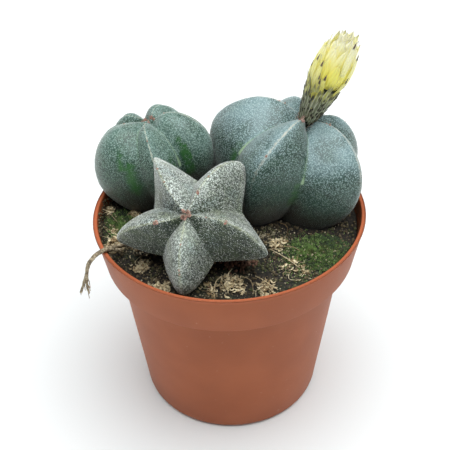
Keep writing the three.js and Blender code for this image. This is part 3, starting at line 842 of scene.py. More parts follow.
for name, body in bodies.items():
    layers = body.verts.layers.float
    stripe, crease = layers.new("stripe"), layers.new("crease")
    around, down = layers["around"], layers["down"]
    for vertex in body.verts:
        on = (vertex.co, vertex[around], vertex[down])
        ragged = 0.9 * noise.noise(vertex.co / 2.2) + 0.5 * noise.noise(vertex.co / 0.9)
        vertex[stripe] = min(1, max(0, marked_by(name, STRIPES[name], *on) * (1 + ragged)))
        vertex[crease] = marked_by(name, CREASES[name], *on)
    print(name, "stripe vertices:", sum(vertex[stripe] > 0.5 for vertex in body.verts))

# %% [markdown]
# ### White flecks
#
# The skin is covered with tiny tufts of white hair, each about half a millimetre wide or less. They
# make the plants look grey. A speckled pattern in the finish gives the smallest ones, and the larger
# ones are real low cones, so the outline and the light show that the skin is rough. They are spread
# face by face at a chosen number to the square millimetre, which keeps them from crowding by chance.
# There are most of them on the star and along the ribs, and few near the soil and on the stripes.
# Fewer stand where the skin faces down or lies in a furrow, as painted shade, and those copies are
# duller.

# %% Flecks
FLECK_HEIGHT = 0.16


def spread(bm, density, draw):
    """Places, normals and first vertices on a surface, density(vertex) to the square millimetre."""
    for face in bm.faces:
        corners = face.verts[:]
        wanted = face.calc_area() * density(corners[0])
        for _ in range(int(wanted + draw.random())):
            across, along = draw.random(), draw.random()
            first = corners[0].co.lerp(corners[1].co, across)
            second = corners[-1].co.lerp(corners[2].co, across)
            yield first.lerp(second, along), face.normal.copy(), corners[0]


def fleck_density(bm, usual, on_rib, patchy):
    rib_share, how_low = bm.verts.layers.float["rib"], bm.verts.layers.float["down"]
    stripe, crease = bm.verts.layers.float["stripe"], bm.verts.layers.float["crease"]
    painted_light = bm.verts.layers.float["painted_light"]

    def density(vertex):
        ridge = math.exp(-((vertex[rib_share] / 0.1) ** 2))
        patch = 1 + patchy * (noise.noise(vertex.co / 4) + 2.4 * noise.noise(vertex.co / 0.9))
        bare = max(0.92 * vertex[stripe], vertex[crease])
        above_soil = 1 - 0.9 * smoothly(vertex[how_low], 0.62, 0.86)
        # Painted shade: fewer flecks where the skin faces down or lies deep in a furrow.
        facing_up = 0.55 + 0.45 * vertex[painted_light]
        return (usual + on_rib * ridge) * patch * (1 - bare) * above_soil * facing_up

    return density


FLECKS = {
    # flecks to the square millimetre, how many more on the ribs, how uneven, half width in millimetres
    "star": (3.8, 0.4, 0.75, 0.21),
    "left": (3.3, 0.8, 0.35, 0.13),
    "right": (3.0, 0.8, 0.35, 0.13),
}
fleck_pieces = {}
for name, (usual, on_rib, patchy, width) in FLECKS.items():
    draw = random.Random(name)
    places, shares = [], []
    painted_light = bodies[name].verts.layers.float["painted_light"]
    density = fleck_density(bodies[name], usual, on_rib, patchy)
    for place, normal, vertex in spread(bodies[name], density, draw):
        # Each copy's colour is half random and half painted light: duller where the skin faces down.
        shares.append(0.55 + 0.45 * vertex[painted_light])
        size = width * draw.uniform(0.6, 1.35)
        spin = draw.uniform(0, math.pi)
        places.append(standing(place, normal, (size, size * draw.uniform(0.6, 1.1), FLECK_HEIGHT), spin))
    fleck_pieces[name] = scattered(spike(4, 0, 0.2), places, name, shares)
    print(name, "flecks:", len(places))

# %% [markdown]
# ### The skins
#
# Under its flecks the skin is a dull grey-green, with slow changes between a bluer and a yellower
# green. A wax bloom lies on it in clouds, and its pale bluish colour is laid only where the skin faces
# up: a painted sheen for the light from above. The fleck colours run from dull where the skin faces
# down to bright where it faces up, as painted shade and light. The same recipe serves all three plants
# with other colours. It reads the numbers that the vertices keep, so each mark stays on its part of the
# plant from every side. This cell makes the bare skin, and the fleck colours that the finest flecks and
# the real cones share.

# %% Skin colours
def bare_skin(finish, greens, bloom):
    """The green under the flecks, with its bare stripes and its waxy coating, painted as a pale sheen
    where the skin faces up.
    """
    stripe, painted_light = finish.kept("stripe"), finish.kept("painted_light")
    green = finish.blended(finish.patches(13, 2.0, 0.36, 0.64), greens[0], greens[1])
    green = finish.blended(finish.times(finish.patches(3.2, 4.0, 0.42, 0.62), 0.5), green, greens[2])
    fresh = finish.times(finish.edge(stripe, 0.0, 1.0), 0.8)
    green = finish.blended(fresh, green, (46, 104, 42))
    bloom_sheen_colour, thickness, sheen_from = bloom
    clouds = finish.ranged(finish.patches(12, 1.5, 0.4, 0.6), 0.55 * thickness, 1.35 * thickness)
    # Painted sheen: the bloom's colour lies in clouds only where the painted light is high.
    wax_and_painted_sheen = finish.times(finish.edge(painted_light, sheen_from, 1.0), clouds)
    return finish.blended(finish.times(wax_and_painted_sheen, finish.edge(stripe, 0.6, 0.0)), green, bloom_sheen_colour)


def tinted(finish, share, dull, bright, tints):
    """From a dull to a bright colour, with patches of olive and of blue by the shares in tints."""
    olive = finish.times(finish.patches(7, 3.0, 0.5, 0.68), tints[0])
    blue = finish.times(finish.patches(9, 3.0, 0.5, 0.36), tints[1])
    pale = finish.blended(olive, finish.blended(share, dull, bright), (128, 142, 84))
    return finish.blended(blue, pale, (176, 204, 208))


def fleck_finish(name, dull, bright, tints):
    finish = Finish(name, 0.85)
    # chance is half painted light, so the cones turn duller where the skin faces down: painted shade.
    share = finish.edge(finish.kept("chance"), 0.05, 0.95)
    finish.set("Base Color", tinted(finish, share, dull, bright, tints))
    finish.set("Sheen Weight", 0.3)


# %% [markdown]
# On the bare skin lie the finest flecks, the felt along the ribs and the creases. Last comes the
# corky foot, because the oldest part near the soil turns brown and hard. Its brown is also dark as a
# painted shade, where the plant meets the soil.

# %% Skin finish
def skin_finish(name, greens, flecks, tints, felt, cork_from, fine, bloom, gloss):
    finish = Finish(name, 0.68)
    rib, low, stripe = finish.kept("rib"), finish.kept("down"), finish.kept("stripe")
    crease, painted_light = finish.kept("crease"), finish.kept("painted_light")
    apart, share, share_below = fine
    cells = finish.add("TexVoronoi", {"Vector": finish.place, "Scale": 1 / (apart * MM)})["Distance"]
    dots = finish.edge(cells, 0.55, 0.25)
    covered = finish.times(dots, finish.edge(stripe, 1.1, 0.1))
    # Painted shade and light: the finest flecks thin out and turn duller where the skin faces down.
    thinned = finish.times(covered, finish.ranged(painted_light, share_below * share, share))
    fleck = tinted(finish, painted_light, *flecks, tints)
    flecked = finish.blended(thinned, bare_skin(finish, greens, bloom), fleck)
    hair, width, hair_share = felt
    strayed = finish.maths("ADD", rib, finish.ranged(finish.mottle(1.6, 4.0), -0.06, 0.1))
    on_rib = finish.times(finish.edge(strayed, width, width * 0.3), finish.edge(low, 0.62, 0.2))
    felted = finish.blended(finish.times(on_rib, hair_share), flecked, hair)
    off_line = finish.maths("SUBTRACT", 1.0, rib)
    widths_off = finish.maths("DIVIDE", off_line, finish.ranged(crease, 0.02, 0.09))
    on_line = finish.times(finish.edge(widths_off, 1.0, 0.3), finish.edge(crease, 0.02, 0.5))
    creased = finish.blended(on_line, felted, (152, 182, 144))
    # Corky brown near the root, darkened further as painted shade near the soil.
    depth = finish.maths("ADD", low, finish.ranged(finish.mottle(6), -0.09, 0.09))
    cork_and_shade = finish.times(finish.edge(depth, cork_from, cork_from + 0.2), 0.85)
    finish.set("Base Color", finish.blended(cork_and_shade, creased, (60, 54, 48)))
    finish.bumped(finish.maths("ADD", dots, finish.mottle(1.6)), 0.08)
    finish.set("Roughness", finish.ranged(covered, gloss, 0.75))
    finish.set("Specular IOR Level", 0.5)
    finish.set("Sheen Weight", 0.3)
    finish.set("Sheen Roughness", 0.4)


# Each skin: greens, flecks below and above (painted shade where it faces down, painted light where it
# faces up), their olive and blue patches (shares), felt (colour, width, share), where the corky and
# painted-shade foot starts, the fine flecks (millimetres apart, share where it faces up, part of that
# below, a painted shade), wax bloom painted as sheen (colour, share, from what painted light),
# roughness of the bare skin.
SKINS = {
    "star": (
        [(38, 52, 38), (28, 42, 34), (62, 76, 52)],
        [(116, 128, 98), (232, 246, 238)],
        (0.55, 0.4),
        ((150, 156, 116), 0.1, 0.45),
        0.7,
        (0.9, 0.8, 0.2),
        ((176, 188, 180), 0.3, 0.3),
        0.5,
    ),
    "left": (
        [(38, 72, 56), (30, 58, 44), (56, 90, 68)],
        [(88, 122, 104), (170, 200, 192)],
        (0.15, 0.15),
        ((192, 196, 176), 0.07, 0.75),
        0.48,
        (0.7, 0.65, 0.9),
        ((120, 154, 148), 0.3, 0.4),
        0.36,
    ),
    "right": (
        [(40, 70, 60), (32, 58, 48), (58, 88, 74)],
        [(98, 126, 114), (190, 218, 222)],
        (0.15, 0.2),
        ((198, 196, 180), 0.07, 0.75),
        0.54,
        (0.7, 0.65, 0.9),
        ((150, 180, 186), 0.5, 0.45),
        0.36,
    ),
}
for name, values in SKINS.items():
    skin_finish(name + "_skin", *values)
fleck_finish("star_flecks", (104, 116, 90), (248, 255, 252), (0.5, 0.35))
fleck_finish("left_flecks", (94, 124, 106), (210, 232, 226), (0.15, 0.1))
fleck_finish("right_flecks", (98, 128, 114), (220, 240, 242), (0.15, 0.1))
NODES = {"star": "cactus_front", "left": "cactus_left", "right": "cactus_right"}
for name, body in bodies.items():
    hand_over(body, name + "_cactus", name + "_skin", [NODES[name]])
    hand_over(fleck_pieces[name], name + "_flecks", name + "_flecks")

# %% [markdown]
# ### Woolly pads
#
# Along each rib sit small felt pads, the areoles. On a bishop's cap they bear only a little short
# wool. Each one is a few low lumps with a tuft of hairs, brown and pinkish where it is old and
# whitish where it is young. The youngest crowd together round the crown, where the ribs meet. The
# hairs are thin three-sided cones, because Blender's own hair wouldn't be kept with the model.

# %% Woolly pads
# For each rib of a plant: how far down the pads are, with their sizes in millimetres.
PADS = {
    "star": [
        [(0.07, 0.8), (0.15, 0.4)], [(0.12, 0.4), (0.23, 0.75)], [(0.1, 1.0)],
        [(0.14, 0.4), (0.3, 0.45), (0.33, 0.5)], [(0.06, 0.4), (0.145, 0.8)],
    ],
    "left": [[(0.24, 0.4)], [(0.26, 0.4)], [(0.11, 0.4)], [(0.1, 0.35), (0.257, 0.5)], [(0.11, 0.4)]],
    "right": [
        [(0.25, 0.4)], [(0.16, 0.5)], [(0.15, 0.6), (0.17, 0.5)],
        [(0.12, 1.3), (0.14, 1.1), (0.371, 0.5)], [(0.13, 0.5), (0.157, 0.8)],
    ],
}
CROWN_WOOL = {"star": (0.004, 1.1), "left": (0.03, 1.0), "right": (0.045, 1.2)}


def pad_shape():
    bm = bmesh.new()
    bmesh.ops.create_icosphere(bm, subdivisions=2, radius=1)
    for vertex in bm.verts:
        vertex.co *= 1 + 0.22 * noise.noise(vertex.co * 1.9)
    return bm


def random_lean(draw, normal, amount):
    return (normal + any_way(draw) * amount).normalized()


HAIR = spike(3, 0.1, 0.5)
pad_places, wool_places = [], []
draw = random.Random("pads")
for name, ribs in PADS.items():
    for rib, pads in enumerate(ribs):
        for low, size in [CROWN_WOOL[name], *pads]:
            low += draw.uniform(-0.008, 0.008) if low > 0.05 else 0
            size *= draw.uniform(0.85, 1.15)
            spot = on_skin(name, rib, low)
            near, normal, *_ = surfaces[name].find_nearest(spot)
            for _ in range(2 + int(3 * size)):
                lump = spot + any_way(draw) * size * 0.45
                lump, outward, *_ = surfaces[name].find_nearest(lump)
                part = size * draw.uniform(0.35, 0.7)
                flat = (part, part * 1.2, part * 0.6)
                pad_places.append(standing(lump, outward, flat, draw.uniform(0, 3)))
            for _ in range(int(20 * size)):
                root = near + random_lean(draw, normal, 0.6) * size * 0.45
                up = random_lean(draw, normal, 0.5)
                length = size * draw.uniform(0.8, 1.5)
                wool_places.append(standing(root, up, (0.1, 0.1, length), 0))
pads = scattered(pad_shape(), pad_places, "pads")
wool = scattered(HAIR, wool_places, "wool")

# %% Pad finishes
finish = Finish("areole_felt", 0.95)
grain = finish.patches(0.7, 3.0, 0.35, 0.65)
old = finish.blended(grain, (98, 56, 46), (168, 112, 94))
pale = finish.blended(grain, (156, 112, 98), (206, 172, 156))
finish.set("Base Color", finish.blended(finish.kept("chance"), old, pale))
finish.set("Sheen Weight", 0.5)
finish.bumped(finish.mottle(0.4), 0.2)
hand_over(pads, "areole_pads", "areole_felt")

finish = Finish("areole_wool", 0.9)
finish.set("Base Color", finish.blended(finish.kept("chance"), (150, 108, 92), (222, 206, 188)))
hand_over(wool, "areole_wool", "areole_wool")

# %% [markdown]
# ## Flower
#
# One flower, half closed, stands on the large plant's crown. Its tube is a funnel covered with narrow
# grey-green scales, each with a dark needle-like tip, and the scales grow longer and yellower upwards
# until they turn into petals. Everything is built upright round the Z axis and then leaned over as
# one, which makes the petals' ring easy to describe: every scale and petal is a thin blade that wraps
# round the axis at some radius. The blades follow the spiral that plants use, each one 137.5 degrees
# on from the last.

# %% Flower tube
FLOWER_HEIGHT = 45
TUBE_LENGTH = 20
TUBE_FOOT = 3.3
TUBE_MOUTH = 7.3
GOLDEN_ANGLE = math.radians(137.5)
right = PLANTS["right"]
crown = leaning(right["root"], *right["lean"]) @ on_body(right, 0, 0)[0]
flower_stand = leaning(crown, 21, 5)
to_camera = flower_stand.inverted() @ (camera.location / MM)
FACING = math.atan2(to_camera.y, to_camera.x)


def tube_radius(z):
    return TUBE_FOOT + (TUBE_MOUTH - TUBE_FOOT) * min(1, max(0, z / TUBE_LENGTH)) ** 0.9


def bloom_radius(z):
    """Radius of the half-closed flower's outside above the tube."""
    swell = smoothly(z, 12, 27)
    return 5.6 + 3.3 * swell - 1.5 * smoothly(z, 30, FLOWER_HEIGHT)


def flower_radius(z):
    return max(tube_radius(z), bloom_radius(z) if z > 17 else 0)


tube_line = [(0, -4, 0), (2.6, -4, 0), *[(tube_radius(z), z, 0) for z in range(0, 19, 3)]]
tube_line += [(TUBE_MOUTH, TUBE_LENGTH, 0.3), (6.2, TUBE_LENGTH, 0.3), (4.8, 12, 0), (0, 12, 0)]
tube = turned(rounded_line(tube_line), 48)
for vertex in tube.verts:
    vertex.co += 0.12 * noise.noise_vector(vertex.co / 1.4)
print("the flower faces the camera at", round(math.degrees(FACING)), "degrees")

# %% Blades
def leaf_width(up, widest, foot, roundness):
    """Share of the full width along a blade: foot at 0, 1 at the widest place, closing at the tip."""
    if up < widest:
        return foot + (1 - foot) * smoothly(up, 0, widest)
    return max(0.02, (1 - ((up - widest) / (1 - widest)) ** roundness) ** 0.75)


def blade(bm, angle, span, width, radius_at, out_at, form, grid, chance, marked=0):
    """A scale or petal from span[0] to span[1] above the flower's foot, wrapped round its axis.

    form says how far along it is widest, its width at the foot as a share of that, and its tip: round
    at 2, pointed at 1. grid is its number of faces across and along."""
    made = bmesh.ops.create_grid(bm, x_segments=grid[0], y_segments=grid[1], size=1)["verts"]
    layers = bm.verts.layers.float
    crinkle = 40 * chance
    for vertex in made:
        across, up = vertex.co.x, (vertex.co.y + 1) / 2
        z = span[0] + (span[1] - span[0]) * up
        radius = max(0.6, radius_at(z) + out_at(up))
        half = width / 2 * leaf_width(up, *form)
        wave = noise.noise(Vector((across * 1.3, up * 2.4, crinkle)))
        radius += 0.055 * width * wave * up - 0.05 * half * across * across
        turn = angle + across * half / max(radius, 2.5)
        vertex.co = polar(radius, turn, z + 0.05 * width * wave)
        values = (up, across, chance, z / FLOWER_HEIGHT, marked)
        for name, value in zip(BLADE_LAYERS, values):
            vertex[layers[name]] = value


BLADE_LAYERS = ("along", "across", "chance", "height", "marked")


def blade_layers():
    bm = bmesh.new()
    for name in BLADE_LAYERS:
        bm.verts.layers.float.new(name)
    return bm


def thickened(bm, thickness):
    """Open blades as closed thin solids."""
    bmesh.ops.solidify(bm, geom=bm.faces[:], thickness=thickness)
    return face_outwards(bm)


# %% [markdown]
# ### Scales and petals
#
# The spiral fills the whole flower. The dark tips on the side that faces the reader are few and
# clear, so those scales get their own list: how far up the tip reaches and how far it stands to the
# right of the flower's middle line, in millimetres. Their angle round the flower follows from that.
# The petals come in four rings, the innermost reaching highest.

# %% Scales and petals
SCALES = 170
SCALE_FORM = (0.25, 0.8, 1)
scales = blade_layers()
draw = random.Random("scales")
for i in range(SCALES):
    share = (i + 0.5) / SCALES
    foot = 0.2 + 13.8 * share**0.9
    length = 5.5 + 2.6 * share
    lift = draw.uniform(0.1, 0.6)
    flare = draw.uniform(0.1, 0.8)
    blade(
        scales, i * GOLDEN_ANGLE, (foot, foot + length * draw.uniform(0.8, 1.15)), 1.5 + 0.5 * share,
        flower_radius, lambda up: lift + flare * up * up, SCALE_FORM, (2, 7), draw.random(),
    )

DARK_TIPS = [
    (14.6, -1.8), (15.9, 1.7), (16.6, -4.1), (17.3, -7.0), (17.6, 5.3), (18.5, -0.1), (19.3, 6.6),
    (21.5, -6), (22.6, 3.2), (25.9, -3.1), (26.7, -0.5), (28.3, -8.1), (31.5, -4.2), (32.6, -6.8),
    (38.3, 7.7), (43.4, 4.6), (27.5, 8.0), (24.0, -2.0),
]
HIGHEST_ON_TUBE = 24
# For a dark blade on the tube and on the petals: length below the tip, width, lift, roundness.
DARK_BLADES = {True: (9, 2.0, 0.75, 1), False: (15, 3.2, 0.55, 1.4)}
petals = blade_layers()
for i, (tip, aside) in enumerate(DARK_TIPS):
    radius = bloom_radius(tip) + 0.5
    angle = FACING + math.asin(max(-0.97, min(0.97, aside / radius)))
    on_tube = tip < HIGHEST_ON_TUBE
    length, width, lift, roundness = DARK_BLADES[on_tube]
    blade(
        scales if on_tube else petals, angle, (max(1, tip - length), tip + 0.8), width,
        flower_radius, lambda up: lift, (0.35, 0.7, roundness), (3, 12), 0.2 + 0.04 * i, 1,
    )

PETAL_RINGS = [
    # count, first angle, foot, tip, width, share of the flower's radius
    (11, 0.1, 13, 33.5, 5.2, 0.98),
    (10, 0.42, 13, 39.5, 6.6, 0.9),
    (9, 0.2, 13.5, 43.2, 7.0, 0.68),
    (7, 0.65, 14, 44.8, 6.4, 0.38),
]
PETAL_FORM = (0.62, 0.5, 2)


def bud_radius(z):
    """Radius of the outermost petals, which come out of the tube's mouth."""
    return min(bloom_radius(z), 5.0 + 0.45 * max(0, z - 16))


for count, first, foot, tip, width, share in PETAL_RINGS:
    for i in range(count):
        angle = first + (i + draw.uniform(-0.14, 0.14)) * 2 * math.pi / count
        lean = 0.5 * math.sin(angle - FACING)
        reach = tip + draw.uniform(-1.6, 0.6) + 3 * lean * (share > 0.6)
        flare = draw.uniform(-0.5, 0.9)
        blade(
            petals, angle, (foot, min(FLOWER_HEIGHT, reach)), width * draw.uniform(0.9, 1.1),
            lambda z: share * bud_radius(z) - 0.2, lambda up: flare * up**3,
            PETAL_FORM, (6, 14), draw.random(),
        )
print("blades:", SCALES + len(DARK_TIPS) + sum(ring[0] for ring in PETAL_RINGS))

# %% [markdown]
# The blades are thickened into thin closed solids. Then the flower's small hairs are added: dark
# bristles between the scales, wool where the tube leaves the crown, and stamens inside the cup.

# %% Bristles and stamens
BRISTLES = 240
FOOT_HAIRS = 300
STAMENS = 34
thickened(scales, 0.22)
thickened(petals, 0.2)
bristle_places = []
for _ in range(BRISTLES):
    z = 0.5 + 17 * draw.random()
    angle = draw.uniform(0, 2 * math.pi)
    root = polar(tube_radius(z) + 0.3, angle, z)
    length = draw.uniform(3, 6.5)
    up = random_lean(draw, polar(0.25, angle, 1).normalized(), 0.09)
    bristle_places.append(standing(root, up, (0.11, 0.11, length), 0))
bristles = scattered(HAIR, bristle_places, "bristles")

foot_hairs = []
for _ in range(FOOT_HAIRS):
    angle = draw.uniform(0, 2 * math.pi)
    radius = 3.1 + draw.uniform(-0.2, 1.6)
    root = polar(radius, angle, draw.uniform(-2.4, 1.0))
    up = random_lean(draw, polar(1, angle, 1).normalized(), 0.3)
    foot_hairs.append(standing(root, up, (0.11, 0.11, draw.uniform(1.0, 2.4)), 0))
foot_wool = scattered(HAIR, foot_hairs, "foot wool")

stamens = bmesh.new()
for i in range(STAMENS):
    spread_out = 2.6 * math.sqrt((i + 0.5) / STAMENS)
    side = polar(1, i * GOLDEN_ANGLE)
    top = 30 + draw.uniform(0, 7)
    line = [side * 0.8 + Vector((0, 0, 12.2)), side * spread_out * 0.8 + Vector((0, 0, 22))]
    line.append(side * spread_out + Vector((0, 0, top)))
    reed(stamens, line, lambda share: 0.13 if share < 0.93 else 0.36, 4, 12)
face_outwards(stamens)

for bm in (tube, scales, petals, bristles, foot_wool, stamens):
    bmesh.ops.transform(bm, matrix=flower_stand, verts=bm.verts)
print("bristles:", len(bristle_places), "wool hairs:", len(foot_hairs))

# %% [markdown]
# ### The flower's finishes
#
# Each point of a blade keeps how far along the blade it is, how far across, how high it stands on the
# flower, a random number of its blade, and whether the blade has a dark tip. The scales go from
# grey-green at the foot to yellow-green, with a dark brown tip. The petals are a clear pale yellow,
# painted nearly white towards the top as a painted highlight for the light that falls on them and
# shines through them, with fine veins along them. Petals also glow a little with the light that comes
# through them from behind, and a faint light of their own stands in for it.

# %% Scale finish
finish = Finish("flower_scales", 0.7)
along, across, chance, height = map(finish.kept, ("along", "across", "chance", "height"))
grey = finish.blended(chance, (84, 92, 66), (150, 156, 124))
rising = finish.blended(finish.edge(height, 0.26, 0.44), grey, (188, 188, 98))
at_sides = finish.times(finish.edge(finish.maths("ABSOLUTE", across), 0.4, 0.9), 0.7)
rimmed = finish.blended(at_sides, rising, (206, 208, 184))
near_tip = finish.edge(finish.maths("ADD", along, finish.times(chance, 0.14)), 0.64, 0.84)
fewer_upward = {"Value": height, "From Min": 0.3, "From Max": 0.46, "To Min": 0.95, "To Max": 0.4}
dark = finish.times(near_tip, finish.add("MapRange", fewer_upward)[0])
finish.set("Base Color", finish.blended(dark, rimmed, (34, 26, 20)))
finish.bumped(finish.mottle(0.7), 0.12)

finish = Finish("flower_tube_wall", 0.85)
finish.set("Base Color", colour(46, 50, 34))

# %% Petal finish
finish = Finish("flower_petals", 0.5)
along, across, chance, height = map(finish.kept, ("along", "across", "chance", "height"))
yellow = finish.blended(chance, (250, 240, 96), (255, 251, 170))
# Painted highlight: the upper petals turn nearly white for the light that falls on them and shines
# through them.
yellow = finish.blended(finish.edge(height, 0.6, 0.95), yellow, (255, 253, 214))
base = finish.blended(finish.edge(height, 0.6, 0.36), yellow, (206, 200, 84))
wave = finish.maths("SINE", finish.times(across, 9.5))
veined = finish.blended(finish.times(finish.edge(wave, 0.1, 1.0), 0.18), base, (214, 196, 70))
narrow = finish.edge(finish.maths("ABSOLUTE", across), 0.95, 0.5)
tip = finish.times(finish.edge(along, 0.78, 0.84), narrow)
marked = finish.times(tip, finish.edge(finish.kept("marked"), 0.4, 0.6))
ended = finish.blended(marked, veined, (62, 44, 24))
finish.set("Base Color", ended)
finish.set("Emission Color", ended)
finish.set("Emission Strength", 0.07)
finish.bumped(wave, 0.1)
finish.translucent(0.35, 1.4, 1.2, 0.5)
finish.set("Sheen Weight", 0.2)

# %% Bristle and stamen finishes
finish = Finish("flower_bristles", 0.8)
finish.set("Base Color", finish.blended(finish.kept("chance"), (52, 40, 32), (128, 112, 84)))
finish = Finish("flower_stamens", 0.7)
finish.set("Base Color", finish.blended(finish.mottle(1.2), (232, 206, 88), (244, 224, 120)))

hand_over(tube, "flower_tube_wall", "flower_tube_wall", ["flower_tube"])
hand_over(scales, "flower_tube_scales", "flower_scales")
hand_over(petals, "flower_bloom", "flower_petals", ["flower_petals"])
hand_over(bristles, "flower_bristles", "flower_bristles")
hand_over(foot_wool, "flower_foot_wool", "areole_wool")
hand_over(stamens, "flower_stamens", "flower_stamens")

# %% [markdown]
# ## Soil
#
# Potting soil fills the pot almost to the rim. It could be a flat disc with a bumpy finish, but soil
# is seen close up here, so its top is a fine mesh that is lifted into a low dome with lumps, and
# loose crumbs lie on it. Under the plants it is pressed down, so that they sit in it, not through it.

# %% Soil plug
SOIL_LEVEL = 91.5
SOIL_EDGE = collar_inside(SOIL_LEVEL) - 0.3
SOIL_RINGS = 64
SOIL_SEGMENTS = 200
UP, DOWN = Vector((0, 0, 1)), Vector((0, 0, -1))


def soil_top(x, y):
    share = min(1, math.hypot(x, y) / collar_inside(SOIL_LEVEL))
    lumps = 0.55 * math.sin(x * 0.21 + 1.3) * math.cos(y * 0.24 - 0.4)
    lumps += 0.35 * math.sin(x * 0.47 - y * 0.39 + 2.1)
    return SOIL_LEVEL + 2.2 * (1 - share * share) + lumps


soil_line = [(0, 2.7, 0), (39, 2.7, 0), (40.5, 4.2, 0), (49.7, 80.2, 0), (54.7, 80.5, 0)]
soil_line += [(SOIL_EDGE * (1 - ring / SOIL_RINGS), SOIL_LEVEL, 0) for ring in range(SOIL_RINGS + 1)]
soil = turned(rounded_line(soil_line), SOIL_SEGMENTS)
for vertex in soil.verts:
    press(vertex)
    if vertex.co.z < SOIL_LEVEL - 1:
        continue
    coarse = noise.noise(vertex.co / 3.1)
    fine = noise.noise(vertex.co / 1.1 + Vector((5, 0, 0)))
    vertex.co.z = soil_top(vertex.co.x, vertex.co.y) + 0.55 * coarse + 0.4 * fine
    for surface in surfaces.values():
        below = Vector((vertex.co.x, vertex.co.y, 40))
        under, *_ = surface.ray_cast(below, UP)
        if under and under.z < vertex.co.z + 0.2:
            vertex.co.z = under.z - 0.2
soil_surface = BVHTree.FromBMesh(soil)
print("soil has", len(soil.faces), "faces")


def on_soil(x, y):
    """The soil's surface straight below a place, or None where a plant stands on it."""
    place, *_ = soil_surface.ray_cast(Vector((x, y, POT_HEIGHT)), DOWN)
    if place is None or inside_plant(place + Vector((0, 0, 0.8)), 0.3):
        return None
    return place


# %% [markdown]
# ### Crumbs
#
# The soil is dark and moist, with crumbs of peat, grains of perlite and sand, and green algae in the
# damp places. Crumbs are lumpy balls of twenty faces, copied a few thousand times in one mesh, and
# some cling to the inside of the collar at the left. Pale grit lies thickest in front of the large
# plant, and there are reddish bits of bark beside the star.

# %% Crumbs
def crumb_shape(seed):
    bm = bmesh.new()
    bmesh.ops.create_icosphere(bm, subdivisions=1, radius=1)
    for vertex in bm.verts:
        vertex.co *= 1 + 0.5 * noise.noise(vertex.co * 1.7 + Vector((seed, 0, 0)))
    return bm


def anywhere_on_soil(draw):
    radius = (SOIL_EDGE - 0.6) * math.sqrt(draw.random())
    angle = draw.uniform(0, 2 * math.pi)
    return radius * math.cos(angle), radius * math.sin(angle)


def near_place(draw, x, y, spread_x, spread_y):
    return x + draw.gauss(0, spread_x), y + draw.gauss(0, spread_y)


def crumb_at(draw, x, y, low, high):
    """The matrix for a crumb that lies on the soil there, or None where there is no free soil."""
    if math.hypot(x, y) > (SOIL_EDGE - 0.6) * squeeze(x, y, SOIL_LEVEL):
        return None
    spot = on_soil(x, y)
    if spot is None:
        return None
    size = draw.uniform(low, high)
    turn = Quaternion(any_way(draw).normalized(), draw.uniform(0, 6))
    flat = Vector((size, size * draw.uniform(0.6, 1), size * draw.uniform(0.5, 0.9)))
    return Matrix.LocRotScale(spot + Vector((0, 0, 0.25 * size)), turn, flat)


def strewn(draw, count, low, high):
    """Crumbs all over the soil."""
    return [crumb_at(draw, *anywhere_on_soil(draw), low, high) for _ in range(count)]


LEFT_SIDE = (145, 215)


def stuck_to_wall(draw, count, low, high):
    """Crumbs that cling to the collar's inner face at the left, denser near the soil."""
    places = []
    for _ in range(count):
        angle = math.radians(draw.uniform(*LEFT_SIDE))
        z = 92 + 6 * draw.random() ** 1.6
        radius = (collar_inside(z) - 0.3) * squeeze(math.cos(angle), math.sin(angle), z)
        size = draw.uniform(low, high)
        turn = Quaternion((0.6, 0, 0.8), draw.uniform(0, 6))
        flat = Vector((size, 0.8 * size, 0.6 * size))
        places.append(Matrix.LocRotScale(polar(radius, angle, z), turn, flat))
    return places


# Counts, with the smallest and the largest half width in millimetres.
ON_SOIL = {"dark": (3600, 0.3, 1.0), "pale": (320, 0.2, 0.45)}
ON_WALL = {"dark": (260, 0.3, 0.8), "pale": (60, 0.2, 0.5)}
BARK_BITS = 60
draw = random.Random("crumbs")
dark = strewn(draw, *ON_SOIL["dark"]) + stuck_to_wall(draw, *ON_WALL["dark"])
pale = strewn(draw, *ON_SOIL["pale"]) + stuck_to_wall(draw, *ON_WALL["pale"])
GRIT = [
    # x, y, spread along x and y, count
    (13, -10, 6, 3.2, 150), (18, -15, 4, 3, 90), (-43, 4, 2.6, 2.2, 70), (-50, -13, 4, 3.5, 70),
    (-44, -22, 5, 4, 80), (-31, -38, 5, 5, 90), (0, -42, 7, 4, 90), (14, -46, 4, 2.5, 50),
    (24, -30, 7, 6, 60), (-6, -46, 5, 3, 40), (48, -2, 3, 8, 40), (26, -24, 4, 6, 150),
    (30, -37, 6, 4, 70),
]
for x, y, wide, deep, count in GRIT:
    pale += [crumb_at(draw, *near_place(draw, x, y, wide, deep), 0.2, 0.6) for _ in range(count)]
PELLETS = [(-13, -36.5), (-8.8, -44)]
pellets = [crumb_at(draw, *near_place(draw, x, y, 0.8, 0.8), 0.7, 1.1) for x, y in PELLETS]
bark = [crumb_at(draw, *near_place(draw, 3, -31, 3.2, 2), 0.5, 1.2) for _ in range(BARK_BITS)]


def crumbs(places, seed):
    return scattered(crumb_shape(len(places) % 7), [place for place in places if place], seed)


dark, pale = crumbs(dark, "dark"), crumbs(pale, "pale")
bark = crumbs(bark + pellets, "bark")

# %% Soil and crumb finishes
finish = Finish("potting_soil", 0.9)
brown = finish.blended(finish.patches(1.3, 6.0, 0.35, 0.65), (16, 16, 14), (50, 44, 36))
algae = finish.times(finish.patches(11, 4.0, 0.5, 0.66), 0.65)
green = finish.blended(algae, brown, (34, 46, 28))
grit = finish.times(finish.patches(0.8, 2.0, 0.66, 0.72), 0.7)
finish.set("Base Color", finish.blended(grit, green, (150, 130, 98)))
finish.bumped(finish.mottle(0.9, 6.0), 0.5)


